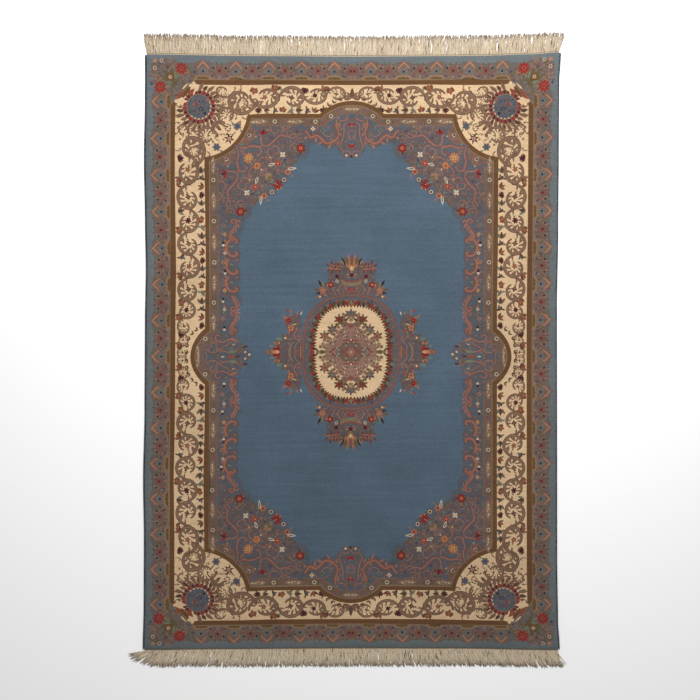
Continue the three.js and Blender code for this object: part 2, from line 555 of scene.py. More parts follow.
@dataclass(frozen=True)
class OuterGuard:
    """The outermost band: arches that point out of the rug, with flowers between them."""

    side_level: float = 880.0
    end_level: float = 1316.0
    side_pitch: float = 173.0
    end_pitch: float = 158.5
    first_on_end: float = 88.0
    arches_on_side: int = 8
    arches_on_end: int = 5

    def arch(self) -> Motif:
        """A chevron over a ringed dot, on a mound of the brown band."""
        mound = (18j, 10+13j, 19+16j, 29+9j, 31)
        chevron = (92j, 25+67j, 33+52j, 25+55j, 79j)
        made = [
            mirrored(mound, TAN, 1.3, 1.5), mirrored(mound, HUMP), mirrored(chevron, SALMON),
            mirrored([p * 0.98 for p in chevron[:3]] + [23+61j, 84j], ORANGE, 0.9), disc(19, TAN, 42j, 10),
            disc(17, HAZE, 42j, 10), disc(11, STEEL, 42j), disc(6, INK, 42j), disc(3.5, ROSE, 99j, 6),
        ]
        for way in (-1, 1):
            made += paired(
                way,
                (
                    (13, 6, OLIVE, 3, 4, 65, 0), (19, 6, SALMON, 14, 26, 125, 0.2),
                    (15, 6, OLIVE, 32, 50, 30, 0.2), (13, 5, ROSE, 25, 80, 20, 0.2),
                )
            )
        return made

    def flower(self) -> Motif:
        """A small rose flower among tendrils, dots and leaf tips."""
        scallop = (11j, 10+5j, 22+7j, 35+14j, 46+11j, 54)
        made = [mirrored(scallop, TAN), mirrored(scallop, HAZE, 0.86, 0.5), star(8, 25, 0.7, MAUVE, at=46j)]
        tendril = scroll(50, (1.2, -3.6, -4.4, -1.0), 8)
        for way in (-1, 1):
            made += placed(
                [ribbon(tendril, 4.5, ROSE, 0.4)], complex(28 * way, 37), 90 - 62 * way, 1, way < 0
            )
            made += paired(
                way,
                (
                    (19, 8, OLIVE, 8, 70, 30, 0.1 * way), (17, 7, SALMON, 15, 62, 56, 0),
                    (20, 8, ROSE, 6, 50, 24, 0.1), (18, 8, SAGE, 30, 86, 76, 0.2),
                )
            )
            made += spots([
                (x * way, y, size, dye)
                for x, y, size, dye in ((30, 58, 5.5, INK), (34, 20, 5.5, NAVY), (14, 20, 4.5, SLATE))
            ])
            made += paired(way, ((16, 6, ROSE, 20, 30, 110, 0.2), (14, 6, OLIVE, 44, 40, -20, 0)))
        return [
            *made, *blossom(14, 6, ROSE, WINE, at=45j), leaf(26, 9, SALMON, 2j, 90), leaf(15, 5, TAN, 4j, 90)
        ]

    def corner(self) -> Motif:
        """The corner's palmette on the diagonal, and a red flower on either side of it."""
        middle, out = 880+1328j, polar(1, 45)
        made = [
            star(7, 46, 0.6, OLIVE, 45, middle - out * 8, False),
            star(5, 30, 0.5, HUMP, 45, middle - out * 8, False)
        ]
        made += [
            leaf(40, 16, SAGE, middle - out * 30 + 12 * k * 1j * out, 45 + 30 * k, 0.1 * k)
            for k in (-2, -1, 1, 2)
        ]
        made += [*ringed(11, SALMON, PALE, RED, middle), star(5, 11, 0.5, ORANGE, 45, 953+1404j)]
        plume = [leaf(34, 12, (TAN, SALMON)[k % 2], 0j, 196 + 24 * k, 0.15) for k in range(6)]
        flower = [
            *plume, star(9, 31, 0.7, ROSE), star(9, 28, 0.5, RED), star(5, 14, 0.4, SALMON, 20, 0j, False),
            disc(5, WINE)
        ]
        sprigs = thicket(
            (-48-22j, -6-22j, -6+26j, -48+26j), 15, 74, ((SALMON, SAGE), (ROSE, OLIVE), (TAN, SALMON))
        )
        for at, turn, flip, dot, filling in (
            (826+1368j, 0, False, 922+1404j, 888+1394j), (928+1280j, 90, True, 954+1370j, 964+1316j),
        ):
            made += [
                *placed(sprigs, filling + 20), *placed(flower, at, turn, 1, flip),
                *ringed(9, PALE, SALMON, WINE, dot)
            ]
        return made

    def draw(self, chart: Chart) -> None:
        """Lays the band on the chart."""
        across, up = self.side_level, self.end_level
        for edge, reach, level, pitch, shift in (
            (END, across, up, self.end_pitch, self.first_on_end), (SIDE, up, across, self.side_pitch, 0.0),
        ):
            places = np.linspace(0, reach, round(reach / 12))
            crest = [complex(s, 78 + 14 * abs(math.cos(math.pi * (s - shift) / pitch)) ** 3) for s in places]
            chart.run(edge, [Patch((*crest, complex(reach, 0), 0j), HAZE)], 0, level, edge is SIDE)
        level = complex(across, up)
        cloud = (-128j, 22-122j, 60-84j, 66-20j, 96+30j, 92+72j)
        cloud = [level + p for p in (*cloud, *(complex(p.imag, p.real) for p in cloud[-2::-1]))]
        chart.add(Patch(tuple(cloud), HAZE))
        bloom = ((SALMON, OLIVE), (ROSE, TAN), (OLIVE, SALMON), (TAN, STEEL), (SALMON, SAGE))
        chart.add(*thicket(
            (0j + across, across + 84, level + 44 - 120j, level + 44 + 40j, level - 40j), 20, 71, bloom
        ))
        chart.add(*thicket((1j * up, 1j * (up + 82), level - 120 + 44j, level + 44j, level), 20, 72, bloom))
        chart.add(*thicket(
            cloud, 21, 73, ((OLIVE, HUMP), (TAN, OLIVE), (SALMON, SAGE), (HUMP, TAN), (STEEL, SALMON))
        ))
        for k in range(self.arches_on_side):
            chart.run(SIDE, self.arch(), k * self.side_pitch, across)
            if k:
                chart.run(SIDE, self.flower(), (k - 0.5) * self.side_pitch, across)
        for k in range(self.arches_on_end):
            place = self.first_on_end + k * self.end_pitch
            chart.run(END, self.arch(), place, up)
            chart.run(END, self.flower(), max(place - self.end_pitch / 2, 0), up)
        chart.add(*self.corner())


@dataclass(frozen=True)
class IvoryBorder:
    """The main border: a chain of curled acanthus leaves on ivory, with flowers in the gaps."""

    shape: BorderShape = BorderShape()
    margin: float = 8.0  # between the curls' backs and the outer edge
    side_curls: Rows = (
        (19, 30, 27), (79, 31, 28), (146, 38, 34), (223, 43, 45), (323, 56, 53),
        (432, 56, 54), (541, 56, 54), (650, 57, 53), (763, 60, 55), (893, 70, 55),
    )  # each one's place along the side, half length and half width
    end_curls: Rows = ((76, 46, 36), (179, 58, 43), (292, 62, 55), (422, 70, 53))

    def heart(self, kind: int, size: float) -> Motif:
        """What a curled leaf holds: a star or a flower, and two leaves."""
        dye, rays, middle = ((RUST, 5, TAN), (BARK, 4, FERN), (WINE, 6, INK), (BARK, 4, TAN))[kind]
        made = [
            leaf(size, size * 0.5, BARK, -size + 0j, 60, 0.2),
            leaf(size, size * 0.5, OLIVE, -size * 1.1, 130)
        ]
        return [
            *made, star(rays, size * 1.1, 0.55, dye, 80, 0j, kind == 2), disc(size * 0.38, middle, points=6)
        ]

    def sprig(self, kind: int) -> Motif:
        """A flower or a few leaves, about their own middle and pointing to +y."""
        pair = [leaf(24, 13, BARK, 2-10j, 30, 0.2), leaf(22, 12, OLIVE, -2-10j, 145, -0.2)]
        first, second, third = (
            (SAGE, FERN, SAGE), (FERN, BARK, RUST), (BARK, SLATE, OLIVE), (FERN, SAGE, BARK)
        )[kind % 4]
        if kind % 8 < 2:
            dye, rays, size, middle = ((WINE, 6, 15, INK), (RUST, 5, 20, TAN))[kind % 8]
            return [*pair, star(rays, size, 0.55, dye, 86, 3j, kind % 8 == 0), disc(5.5, middle, 3j, 6)]
        if kind % 2:
            return [
                leaf(33, 15, dye, -14j, 90 + a, a / 230)
                for a, dye in ((-32, first), (32, second), (0, third))
            ]
        return [
            leaf(33, 17, first, -13-4j, 20, 0.3), leaf(22, 12, second, 3+3j, 140, 0.2),
            leaf(18, 10, third, -4j, 250, 0.2)
        ]

    def vine(self, edge: Edge, curls: Rows, chart: Chart) -> None:
        """Lays the chain along an edge, with flowers in its gaps and along the inner edge.

        Args:
            edge: which kind.
            curls: each one's place along it, half length and half width.
            chart: the quarter's.
        """
        shape = self.shape
        at_end = edge is END
        inner, outer, niche = (shape.end, shape.outer_end, 140) if at_end else (
            shape.side, shape.outer_side, 150
        )
        for k, (place, half_length, half_width) in enumerate(curls):
            from_corner = len(curls) - 1 - k
            back_is_out = from_corner % 2 == 1
            leafy = acanthus(half_length, half_width, 10 if half_length > 50 else 8)
            leafy += self.heart(from_corner % 4, half_width * 0.27)
            chart.run(
                edge, placed(leafy, 0, 0, 1, not back_is_out), place, outer - self.margin - half_width,
                at_end
            )
            step = half_length * (1.02 if from_corner else 0.9)
            if back_is_out:
                chart.run(
                    edge, placed(self.sprig(5 + k), 0, 150, 0.8), place + 0.95 * step, outer - 17, at_end
                )
            else:
                chart.run(
                    edge, placed(self.sprig((0, 1, 2, 7)[k // 2 % 4]), 0, 170, 1.1), place + 0.82 * step,
                    outer - 26, at_end
                )
                chart.run(
                    edge, placed(self.sprig(3 + 2 * k), 0, 40), place - 0.75 * step, outer - 18, not at_end
                )
        stop = curls[-1][0] + curls[-1][1] * (0.5 if at_end else 0.2)
        for k, place in enumerate(np.arange(niche, stop, 39.0)):
            size = 1.1 if (k * 5) % 8 in (4, 2, 7) else 0.96
            chart.run(
                edge, placed(self.sprig(k * 5), 0, (170, 20, 200, 90)[k % 4], size), place, inner + 17,
                k % 2 == 0
            )

    def draw(self, chart: Chart) -> None:
        """Lays the brown band, the ivory ground and the chain on the chart."""
        shape = self.shape
        chart.add(shape.outer_region(shape.band + 4, 2080, TAN))
        chart.add(shape.outer_region(shape.band, 2074, BROWN))
        chart.add(shape.outer_region(0, shape.outer_cut, IVORY))
        side, end = shape.side + 6, shape.end + 6
        outer_side, outer_end = shape.outer_side - 8, shape.outer_end - 8
        corner = (outer_side + 1120j, 790+1225j, 560+1j * outer_end)
        lobe = (
            complex(side, 980), complex(outer_side, 980), *corner, complex(520, outer_end),
            complex(520, end), 560+1060j
        )
        clear = [(complex(outer_side - 55, self.side_curls[-1][0]), 60), (CORNER, 100)]
        chart.add(*thicket(lobe, 31, 82, UNDERWOOD, clear))
        self.vine(SIDE, self.side_curls, chart)
        self.vine(END, self.end_curls, chart)
        fronds = [leaf(40, 16, FERN, 0j, a, -0.1) for a in (-10, 20, 50)]
        fronds += [leaf(50, 20, BARK, 0j, 90), leaf(28, 10, OLIVE, 6j, 90), disc(6, ROSE, 2j, 6)]
        chart.run(END, fronds, 0, 1232)
        shoots = [leaf(22, 10, BARK, 0j, 60, 0.2), leaf(18, 9, OLIVE, 0j, 130, 0.2)]
        for along, level in ((30, 1222), (58, 1216), (88, 1204), (112, 1190), (134, 1176)):
            chart.run(END, shoots, along, level)
        for along, level in ((20, 790), (52, 788), (86, 780), (112, 764), (130, 744)):
            chart.run(SIDE, shoots, along, level)


@dataclass(frozen=True)
class CornerLobe:
    """The round swelling of the ivory border in the rug's corner, with a roundel in its middle."""

    disc_radius: float = 61.0
    frill_radius: float = 83.0
    frill_teeth: int = 22

    def roundel(self) -> Motif:
        """The blue disc with its dark red frill and a small sprig."""
        made = [
            star(self.frill_teeth, self.frill_radius + 5, 0.86, FERN, at=0),
            star(self.frill_teeth, self.frill_radius, 0.84, ROSE, at=0),
        ]
        for k in range(self.frill_teeth):
            turn = 360 * (k + 0.5) / self.frill_teeth
            root = polar(self.disc_radius, turn)
            made.append(leaf(22, 12, WINE if k % 3 else RED, root, turn + 16, 0.2))
        made += [disc(self.disc_radius, TAN, points=22), disc(self.disc_radius - 3, SLATE, points=22)]
        made += fan(self.disc_radius - 6, 150, 302, 9, (13, 13), 6, (IVORY,), 80)
        made += thicket(
            disc(self.disc_radius - 9, SLATE, points=14).outline, 19, 61,
            ((OLIVE, SAGE), (FERN, WINE), (NAVY, ROSE))
        )
        made += [star(5, 18, 0.42, NAVY, 225, -8-8j, False), disc(6, SLATE, -8-8j, 6)]
        made += [disc(7, RED, 14+14j, 8), disc(3.4, ROSE, 14+14j, 6), disc(7, INK, -29-29j, 8)]
        return made

    def leaves(self) -> Motif:
        """One half of the leaves round the roundel; the other is its mirror image."""
        made: Motif = []
        curls = (
            (532, 1216, 70, 62, 11, 10, True), (606, 1146, 46, 43, 9, 95, True),
            (534, 1206, 33, 31, 7, 120, False), (520, 1150, 24, 22, 6, 200, True),
            (622, 1262, 38, 28, 7, 20, True), (642, 1210, 36, 32, 7, 300, False),
        )
        for across, up, half_length, half_width, lobes, turn, flip in curls:
            made += placed(acanthus(half_length, half_width, lobes), complex(across, up), turn, 1, flip)
        made += blossom(18, 6, SLATE, NAVY, STEEL, at=553+1101j, rim=TAN)
        made += [leaf(26, 9, SAGE, 540+1088j, 235, 0.2), leaf(24, 9, SAGE, 570+1112j, 30, 0.2)]
        return made

    def draw(self, chart: Chart) -> None:
        """Lays the lobe's leaves, flowers and roundel on the chart."""
        mass = fan(self.frill_radius - 6, 92, 358, 21, (44, 34, 52, 38), 19, (FERN, BARK, FERN), 14)
        chart.put(mass, CORNER)
        chart.put_twice(self.leaves())
        chart.put([leaf(56, 22, FERN, 0j, 225 + a, b) for a, b in ((-30, -0.3), (30, 0.3))], 672+1121j)
        chart.put([leaf(50, 17, BARK, 0j, 225), leaf(36, 8, TAN, 0j, 225)], 664+1113j)
        chart.put([star(6, 29, 0.4, BARK, 75, 0, False)], 591+1042j)
        chart.put([star(6, 25, 0.42, WINE, 75, 0, False), *ringed(9, PALE, RED, ORANGE)], 591+1042j)
        chart.put(self.roundel(), CORNER)
        chart.put_twice([star(5, 25, 0.6, IVORY, 20), leaf(34, 16, IVORY, -6j, 260, 0.2)], 766+1284j)
        chart.put(
            [leaf(46, 22, RUST, -18-18j, 135), leaf(56, 22, RUST, 0j, -45), leaf(46, 8, IVORY, 12+8j, 135)],
            812+1261j
        )


@dataclass(frozen=True)
class InnerGuard:
    """The mauve band between the brown band and the field, with ringed dots and tan panels."""

    shape: BorderShape = BorderShape()
    side_insets: tuple[float, float] = (22.0, 62.0)  # of the guard's two edges
    end_insets: tuple[float, float] = (20.0, 56.0)

    def eye(self) -> Motif:
        """A ringed dot between two brackets."""
        made: Motif = []
        for way in (-1, 1):
            bracket = ribbon(scroll(34, (4.4, 3.4, 4.4), 8), 6.5, OLIVE, 0.5)
            made += placed([bracket], complex(21 * way, 0), 90 * way)
            made.append(leaf(15, 6, ROSE, complex(27 * way, -6), 90 - 60 * way, 0.2))
        return made + ringed(10, PALE, TAN, INK)

    def panel(self) -> Motif:
        """A long tan panel with paler flecks."""
        flecks = (
            (-30, -3, 30, 17, PALE), (-8, -5, 20, 17, PALE), (14, -3, 150, 17, PALE), (32, -2, 160, 17, PALE)
        )
        oval = blade(np.linspace(-45, 45, 9), (1, 12, 20, 24, 21, 24, 20, 12, 1), TAN)
        return [oval, *strewn(flecks, 0.35), disc(4, ROSE, 1j, 6)]

    def draw(self, chart: Chart) -> None:
        """Lays the brown band, the guard and its edge line on the chart."""
        shape = self.shape
        chart.add(shape.region(0, 0, BROWN))
        chart.add(shape.region(self.side_insets[0], self.end_insets[0], TAN))
        chart.add(shape.region(self.side_insets[0] + 4, self.end_insets[0] + 4, MAUVE))
        for edge, level, insets, eyes, panels in (
            (END, shape.end, self.end_insets, (176, 373), (275, 452)),
            (SIDE, shape.side, self.side_insets, (260, 453, 650, 846), (165, 357, 551, 748, 915)),
        ):
            for place in eyes:
                chart.run(edge, self.eye(), place, level - sum(insets) / 2)
            for place in panels:
                chart.run(edge, self.panel(), place, level - sum(insets) / 2)
        chart.put(self.panel(), 0+1178j)
        chart.put(self.eye(), 101+1143j, -38)
        chart.put(self.panel(), 744+24j, -96, 0.8)
        chart.put(self.eye(), 708+86j, -128)
        chart.put_twice(self.eye(), CORNER + polar(279, -151), -61)
        leaves = [leaf(34, 12, SAGE, 0j, a, 0.2 if a > 90 else -0.2) for a in (25, 155)]
        leaves += [leaf(18, 8, SALMON, -4j, 270)]
        chart.put(leaves, CORNER + polar(279, -135), -45)
        chart.add(shape.region(self.side_insets[1], self.end_insets[1], FERN))


def stroke(path: Line, width: float) -> Motif:
    """A pale stroke with rose edges, on a faint haze where it is a thick one."""
    haze = [ribbon(path, width * 2.1, DUSK, 0.3)] if width > 9 else []
    return [
        *haze, ribbon(path, width * 0.84, ROSE, 0.35),
        ribbon(path, width * 0.46, SALMON if width > 13 else CLAY, 0.5)
    ]


def strokes(*rows: tuple[complex, ...]) -> Motif:
    """Strokes, one to a row of a width and the places that its curved line goes through."""
    return [patch for width, *stops in rows for patch in stroke(smooth(*stops), width)]


def curl(
    length: float, bends: Sequence[float], width: float, at: complex, turn: float, flip: bool = False
) -> Motif:
    """A stroke along a scroll."""
    return placed(stroke(scroll(length, bends, max(10, round(length / 7))), width), at, turn, 1.0, flip)


def curls(*rows: tuple[float, Sequence[float], float, complex, float]) -> Motif:
    """Scrolls, one to a row of length, bends, width, place and turn."""
    return [patch for row in rows for patch in curl(*row)]


@dataclass(frozen=True)
class FieldRim:
    """The chain of rose scrolls round the field, with the niches' own motifs."""

    shape: BorderShape = BorderShape()
    side_line: float = 584.0
    # from the niche to the corner's diagonal
    open_line: tuple[complex, ...] = (
        482, 494+22j, 512+40j, 520+58j, 566+70j, 566+96j, 544+118j, 542+150j, 556+184j,
        566+214j, 540+236j, 528+268j, 546+300j, 566+318j, 548+340j, 546+372j, 564+394j,
        550+414j, 548+452j, 566+476j, 548+498j, 544+542j, 562+572j, 536+590j, 520+622j,
        520+650j, 486+668j, 482+712j, 466+742j, 438+718j, 408+752j, 376+758j,
    )
    end_line: tuple[complex, ...] = (
        196+1016j, 160+1010j, 124+986j, 96+990j, 76+1004j, 64+972j, 40+946j, 936j,
    )

    def ground(self) -> Motif:
        """The greyed ground behind the scrolls, and the open field inside it."""
        half = Patch(self.open_line[19:], FIELD)
        beyond = across_corner([half])[0].outline[::-1]
        outline = (0j, *self.open_line, 344+793j, *beyond[:-6], *self.end_line)
        return [self.shape.region(67, 61, SLATE), Patch(outline, FIELD)]

    def c_scroll(self, size: float, at: complex, turn: float) -> Motif:
        """A C-shaped scroll with curled ends, and leaves on its back and inside."""
        half = (22+10j, 31+20j, 42+8j, 38-15j, 19-30j, -34j)
        path = smooth(*half, *(-stop.conjugate() for stop in half[-2::-1]))
        rows = [(x, -34, a, 22, SALMON) for x, a in ((-22, 215), (-8, 250), (8, 290), (22, 325))]
        rows += [(0, -26, 70, 28, SAGE), (6, -26, 120, 22, OLIVE)]
        return placed([*stroke(path, 20), *strewn(rows)], at, turn, size)

    def s_scroll(self, length: float, width: float, at: complex, turn: float, flip: bool = False) -> Motif:
        """An S-shaped scroll with curled ends and a toothed leaf on one side."""
        path = scroll(length, S_BENDS, 24)
        teeth: Motif = []
        for i in (6, 8, 10, 12, 14, 16):
            heading = math.degrees(cmath.phase(path[i + 1] - path[i]))
            teeth.append(leaf(length * 0.12, length * 0.05, SALMON, path[i], heading - 52, 0.2))
        return [*placed(teeth, at, turn, 1, flip), *curl(length, S_BENDS, width, at, turn, flip)]

    def side(self, chart: Chart) -> None:
        """Lays the chain along the long edge, from the niche to the spandrel."""
        chart.add(*dapple((560+130j, 642+128j, 642+930j, 570+640j), 30, 13, DUSK))
        chart.add(*thicket((600+128j, 642+128j, 642+930j, 600+700j), 27, 11))
        level = self.side_line
        chart.add(*self.s_scroll(200, 15, complex(level - 14, 170), -66))
        chart.add(*self.s_scroll(200, 15, complex(level - 16, 268), -66 + 136, True))
        for place in (355, 440, 525):
            chart.add(*self.c_scroll(0.98, complex(level - 8, place), 90))
        chart.add(*self.s_scroll(200, 15, complex(level - 10, 612), -60))
        dots = (INK, ORANGE, PALE, INK, GOLD, TAN)
        for k in range(12):
            place = complex(624 if k % 2 else 616, 138 + 45 * k)
            if dots[k % 6] is INK:
                chart.add(disc(7, PALE, place - 7j, 6), disc(7, INK, place + 4j, 6))
            elif k % 2:
                chart.put(ringed(9, dots[k % 6], SLATE, ROSE), place)
            else:
                chart.put(blossom(9, 4, dots[k % 6], ROSE), place)

    def side_niche(self, chart: Chart) -> None:
        """Lays the scrolls and the pendant in the long edge's niche."""
        chart.add(*thicket((500, 712, 712+60j, 680+96j, 560+120j, 520+40j), 25, 5))
        chart.add(*strokes(
            (12, 572+94j, 593+84j, 625+70j, 652+78j, 660+94j, 646+105j, 631+95j), (8, 694+41j, 705+20j, 700),
            (9, 652+78j, 673+70j, 684+62j, 678+49j, 668+47j),
            (10, 652+25j, 631+31j, 604+23j, 567+25j, 545+39j),
        ))
        chart.add(*curls(
            (80, C_BENDS, 7, 656+54j, 100), (90, C_BENDS, 8, 672+18j, 10), (90, S_BENDS, 8, 610+52j, 160)
        ))
        chart.add(*strewn(
            (
                (590, 86, 190, 42, SALMON), (584, 100, 150, 34, ROSE), (600, 22, 172, 50, SAGE),
                (560, 20, 150, 34, OLIVE), (604, 0, 180, 52, RUST), (566, 0, 180, 30, WINE),
                (634, 0, 180, 26, PALE), (526, 40, 168, 27, WINE), (532, 44, 130, 20, SAGE),
            ),
            0.34, 0.1
        ))
        chart.add(*spots((
            (572, 58, 5, GOLD), (514, 16, 6, PALE), (514, 16, 3, ORANGE), (494, 0, 6.5, PALE)
        )))

    def end(self, chart: Chart) -> None:
        """Lays the chain along the short edge, from the niche to the spandrel."""
        chart.add(*thicket((134+1098j, 134+1052j, 400+1052j, 400+1098j), 27, 12))
        chart.add(*strokes((
            19, 72+1124j, 76+1100j, 64+1068j, 69+1036j, 92+1018j, 122+1012j, 149+1036j, 170+1050j, 197+1039j,
            218+1066j, 245+1075j, 271+1060j, 287+1036j,
        )))
        teeth = (
            (78, 1108, 190), (60, 1060, 215), (66, 1024, 255), (100, 1008, 290), (140, 1020, 320),
            (176, 1042, 250), (212, 1044, 320)
        )
        chart.add(*strewn([(x, y, turn, 30, SALMON) for x, y, turn in teeth], 0.44, 0.2))
        chart.add(*self.c_scroll(0.7, 336+1062j, 178))
        chart.add(*curls(
            (90, C_BENDS, 8, 246+1048j, 0), (84, C_BENDS, 8, 122+1046j, 20), (70, S_BENDS, 7, 176+1078j, 0)
        ))
        flowers = ((140, 1072, SAGE, INK), (188, 1082, PALE, ORANGE), (236, 1078, OLIVE, ORANGE),
                   (300, 1082, PALE, ORANGE), (366, 1080, SALMON, ORANGE))
        for across, up, petal, heart in flowers:
            chart.put(blossom(11, 4, petal, heart), complex(across, up))

    def end_niche(self, chart: Chart) -> None:
        """Lays the arch of scrolls and the two hearts in the short edge's niche."""
        chart.add(*thicket((940j, 60+985j, 104+1010j, 120+1090j, 84+1140j, 1146j), 25, 8))
        chart.add(*strokes((10, 13+1121j, 37+1100j, 37+1068j, 44+1030j, 56+998j, 44+976j)))
        chart.add(*curls(
            (96, S_BENDS, 8, 42+1122j, 160), (84, C_BENDS, 7, 18+1052j, 90), (80, C_BENDS, 7, 24+976j, 190),
            (60, C_BENDS, 7, 62+1094j, 60),
        ))
        for up, size in ((1104, 26), (1001, 28)):
            chart.add(leaf(size, size * 0.55, RED, complex(0, up - 12), 50))
        chart.add(
            disc(7.5, ORANGE, 24+953j),
            *spots(((24, 953, 5, PALE), (0, 949, 6.5, INK), (0, 1096, 4, ORANGE)))
        )

    def draw(self, chart: Chart) -> None:
        """Lays the whole rim on the chart."""
        chart.add(*self.ground())
        self.side(chart)
        self.side_niche(chart)
        self.end(chart)
        self.end_niche(chart)


@dataclass(frozen=True)
class Spandrel:
    """The flowers and scrolls in the field's corner, alike on both sides of the corner's diagonal."""

    # the half on the end's side
    half: tuple[complex, ...] = (
        404+852j, 362+828j, 300+882j, 232+968j, 226+1086j, 420+1092j, 470+1076j, 430+1010j, 500+950j,
    )

    def scrolls(self) -> Motif:
        """The scrolls of one half."""
        made = strokes(
            (
                14, 562+1006j, 520+995j, 484+1002j, 446+994j, 408+997j, 376+1020j, 346+1048j, 308+1044j,
                274+1062j
            ),
            (11, 452+1052j, 440+1046j, 438+1022j, 430+1002j, 408+997j),
            (9, 450+996j, 438+982j, 437+966j, 448+956j, 458+962j),
        )
        return made + curls(
            (110, C_BENDS, 8, 300+1040j, 30), (100, C_BENDS, 8, 404+958j, 70),
            (96, C_BENDS, 9, 352+984j, 250), (80, C_BENDS, 7, 330+932j, 300),
            (110, HOOK_BENDS, 8, 430+872j, 205), (84, C_BENDS, 7, 292+1000j, 120),
            (90, S_BENDS, 7, 392+922j, 250), (84, S_BENDS, 7, 500+1036j, 30),
            (80, C_BENDS, 7, 374+1060j, 20), (70, S_BENDS, 7, 516+966j, 60), (76, C_BENDS, 7, 262+1030j, 80),
            (84, S_BENDS, 7, 318+1080j, 170), (90, C_BENDS, 8, 440+938j, 150),
            (70, C_BENDS, 7, 480+1060j, 200), (70, S_BENDS, 6, 352+940j, 20),
        )

    def flowers(self) -> Motif:
        """The flowers and leaves of one half."""
        made = placed(fan(4, 190, 350, 4, (28,), 12, (OLIVE, FERN)), 245+985j)
        for at, size, petal, heart, eye, rim in (
            (245+987j, 20, RED, ORANGE, WINE, WINE), (454+905j, 17, ORANGE, WINE, GOLD, RUST),
            (355+913j, 14, RED, ORANGE, None, SALMON), (307+872j, 15, SALMON, RED, None, TAN),
        ):
            made += blossom(size, 6, petal, heart, eye, at, rim)
        made += placed(fan(0, 42, 138, 3, (32,), 13, (RED, WINE, RED)), 428+1052j)
        made += [
            star(4, 15, 0.4, PALE, 45, 332+956j), disc(4, GOLD, 332+956j, 6),
            *ringed(9.5, IVORY, WINE, INK, 325+834j)
        ]
        for at, length, turn in ((402+900j, 38, 153), (309+884j, 46, 166)):
            made += [
                leaf(length, 15, PALE, at, turn, 0.1),
                leaf(length * 0.66, 7, SLATE, at + polar(5, turn), turn, 0.1)
            ]
        made += strewn((
            (300, 900, 120, 26, OLIVE), (320, 892, 60, 20, SAGE), (288, 862, 250, 20, SALMON),
            (366, 890, 300, 20, OLIVE), (384, 880, 220, 20, ROSE), (340, 870, 150, 20, FERN),
            (486, 1030, 200, 18, OLIVE), (332, 1010, 250, 24, FERN), (514, 1030, 120, 24, FERN),
            (282, 982, 0, 12, INK),
        ))
        return made + spots((
            (246, 960, 5, NAVY), (392, 942, 4.5, GOLD), (374, 866, 4, INK), (436, 884, 4, PALE),
            (462, 1046, 4, GOLD)
        ))

    def draw(self, chart: Chart) -> None:
        """Lays the spandrel on the chart."""
        chart.put_twice([
            Patch(self.half, DUSK), *dapple(self.half, 27, 4, SLATE), *thicket(self.half, 20, 3)
        ])
        chart.put_twice(self.scrolls())
        chart.put_twice(self.flowers())
        petals = [
            star(9, 28, 0.72, RUST), star(9, 25, 0.55, ORANGE), disc(14, TAN), star(4, 12, 0.5, GOLD, 45)
        ]
        chart.put([*petals, disc(4, ROSE)], 497+946j)
        heart = [star(4, 21, 0.74, TAN, 45), disc(9, SALMON), *fan(0, 200, 250, 2, (24,), 9, (OLIVE,))]
        chart.put(heart, 401+850j)
        chart.put(fan(0, 180, 300, 5, (25,), 11, (SALMON, ORANGE)), 356+805j)
        chart.put(
            [star(7, 25, 0.6, WINE), star(7, 22, 0.5, RED), star(5, 10, 0.5, WINE, 45), disc(3.5, ORANGE)],
            358+810j
        )
        chart.put([leaf(22, 9, SAGE, 0j, a, 0.1) for a in (20, 70, 200)], 378+820j)


def oval(half_across: float, half_up: float, squareness: float, points: int = 20) -> list[complex]:
    """A quarter of a rounded oval, from its side to its top.

    Args:
        half_across: its half width.
        half_up: its half height.
        squareness: 2 for an ellipse, and more for squarer corners.
        points: how many straight steps.

    Returns:
        The quarter's points.
    """
    power = 2 / squareness
    return [
        complex(half_across * max(math.cos(t), 0.0) ** power, half_up * max(math.sin(t), 0.0) ** power)
        for t in np.linspace(0, math.pi / 2, points + 1)
    ]


